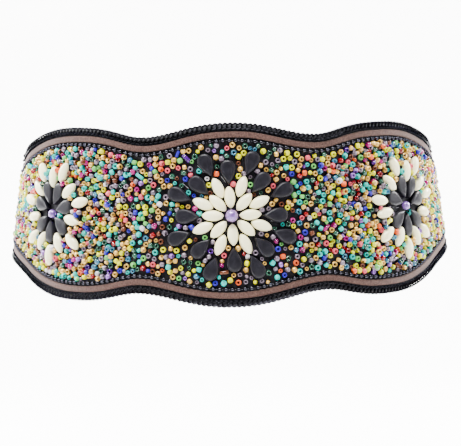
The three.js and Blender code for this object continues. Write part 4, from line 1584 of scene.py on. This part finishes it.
@dataclass
class Stage:
    """A pale floor that curves up into a backdrop, and soft studio lights."""

    floor: float = -0.35
    half_width: float = 4.0
    front: float = -3.5
    back: float = 1.6
    curve: float = 1.2
    curve_steps: int = 12
    top: float = 3.2
    world: float = 0.15

    def build(self) -> None:
        """Make the floor and backdrop, the world's light and the lamps."""
        profile = [(self.front, self.floor), (self.back, self.floor)]
        for step in range(1, self.curve_steps + 1):
            turn = math.pi / 2 * step / self.curve_steps
            profile.append((self.back + self.curve * math.sin(turn),
                            self.floor + self.curve * (1 - math.cos(turn))))
        profile.append((self.back + self.curve, self.top))
        points = [(x, y, z) for y, z in profile for x in (-self.half_width, self.half_width)]
        faces = [(2 * i, 2 * i + 1, 2 * i + 3, 2 * i + 2) for i in range(len(profile) - 1)]
        sweep = mesh_piece("studio_sweep", np.array(points), faces)
        sweep.data.materials.append(PAPER.build())
        world = bpy.data.worlds.new("studio")
        world.use_nodes = True
        background = world.node_tree.nodes["Background"]
        background.inputs["Color"].default_value = linear("#FFFFFF")
        background.inputs["Strength"].default_value = self.world
        bpy.context.scene.world = world
        for lamp in LAMPS:
            lamp.build()


@dataclass(frozen=True)
class ViewPoint:
    """The camera's place, direction and lens, fitted to the photograph."""

    place: Triple = (-0.010776, -1.200579, 0.082483)
    forward: Triple = (0.009978, 0.997029, -0.076374)
    right: Triple = (0.999703, -0.011644, -0.021401)
    focal_pixels: float = 2000.0
    centre_shift: Pair = (0.368, -8.196)
    sensor: float = 36.0
    clip: Pair = (0.05, 50.0)

    def build(self) -> None:
        """Create the camera and make it the scene's camera."""
        forward, right = Vector(self.forward), Vector(self.right)
        up = right.cross(forward).normalized()
        turned = forward - right * (self.centre_shift[0] / self.focal_pixels)
        turned = (turned + up * (self.centre_shift[1] / self.focal_pixels)).normalized()
        right = (right - turned * right.dot(turned)).normalized()
        up = right.cross(turned)
        camera = bpy.data.cameras.new("photo_view")
        camera.sensor_fit = "HORIZONTAL"
        camera.sensor_width = self.sensor
        camera.lens = self.sensor * self.focal_pixels / IMAGE_WIDTH
        camera.clip_start, camera.clip_end = self.clip
        holder = linked_object("photo_view", camera)
        turn = Matrix((right, up, -turned)).transposed().to_4x4()
        holder.matrix_world = Matrix.Translation(Vector(self.place)) @ turn
        bpy.context.scene.camera = holder


def main() -> None:
    """Build every sub-assembly in order, then the stage and the camera."""
    logging.basicConfig(level=logging.INFO, format="%(name)s: %(message)s")
    route = BandRoute()
    panel = FrontPanel()
    panel.build()
    bands = [ElasticBand("right", 1, route), ElasticBand("left", -1, route)]
    for band in bands:
        band.build()
    BackClasp(route).build()
    for band in bands:
        band.dress()
    panel.dress()
    LOG.info("panel, bands and clasp done")

    for edge, side in (("top", 1), ("bottom", -1)):
        for trim in (CurbChain, SuedeLace, BallChain):
            trim(edge, side).build()
    LOG.info("trims done")

    CentreFlower().build()
    for name in ("left", "right"):
        SideFlower(name).build()
    LOG.info("flowers done")

    SeedBeadField().build()
    BeadingThread().build()
    Stitching(route).build()
    Stage().build()
    ViewPoint().build()


if __name__ == "__main__":
    main()
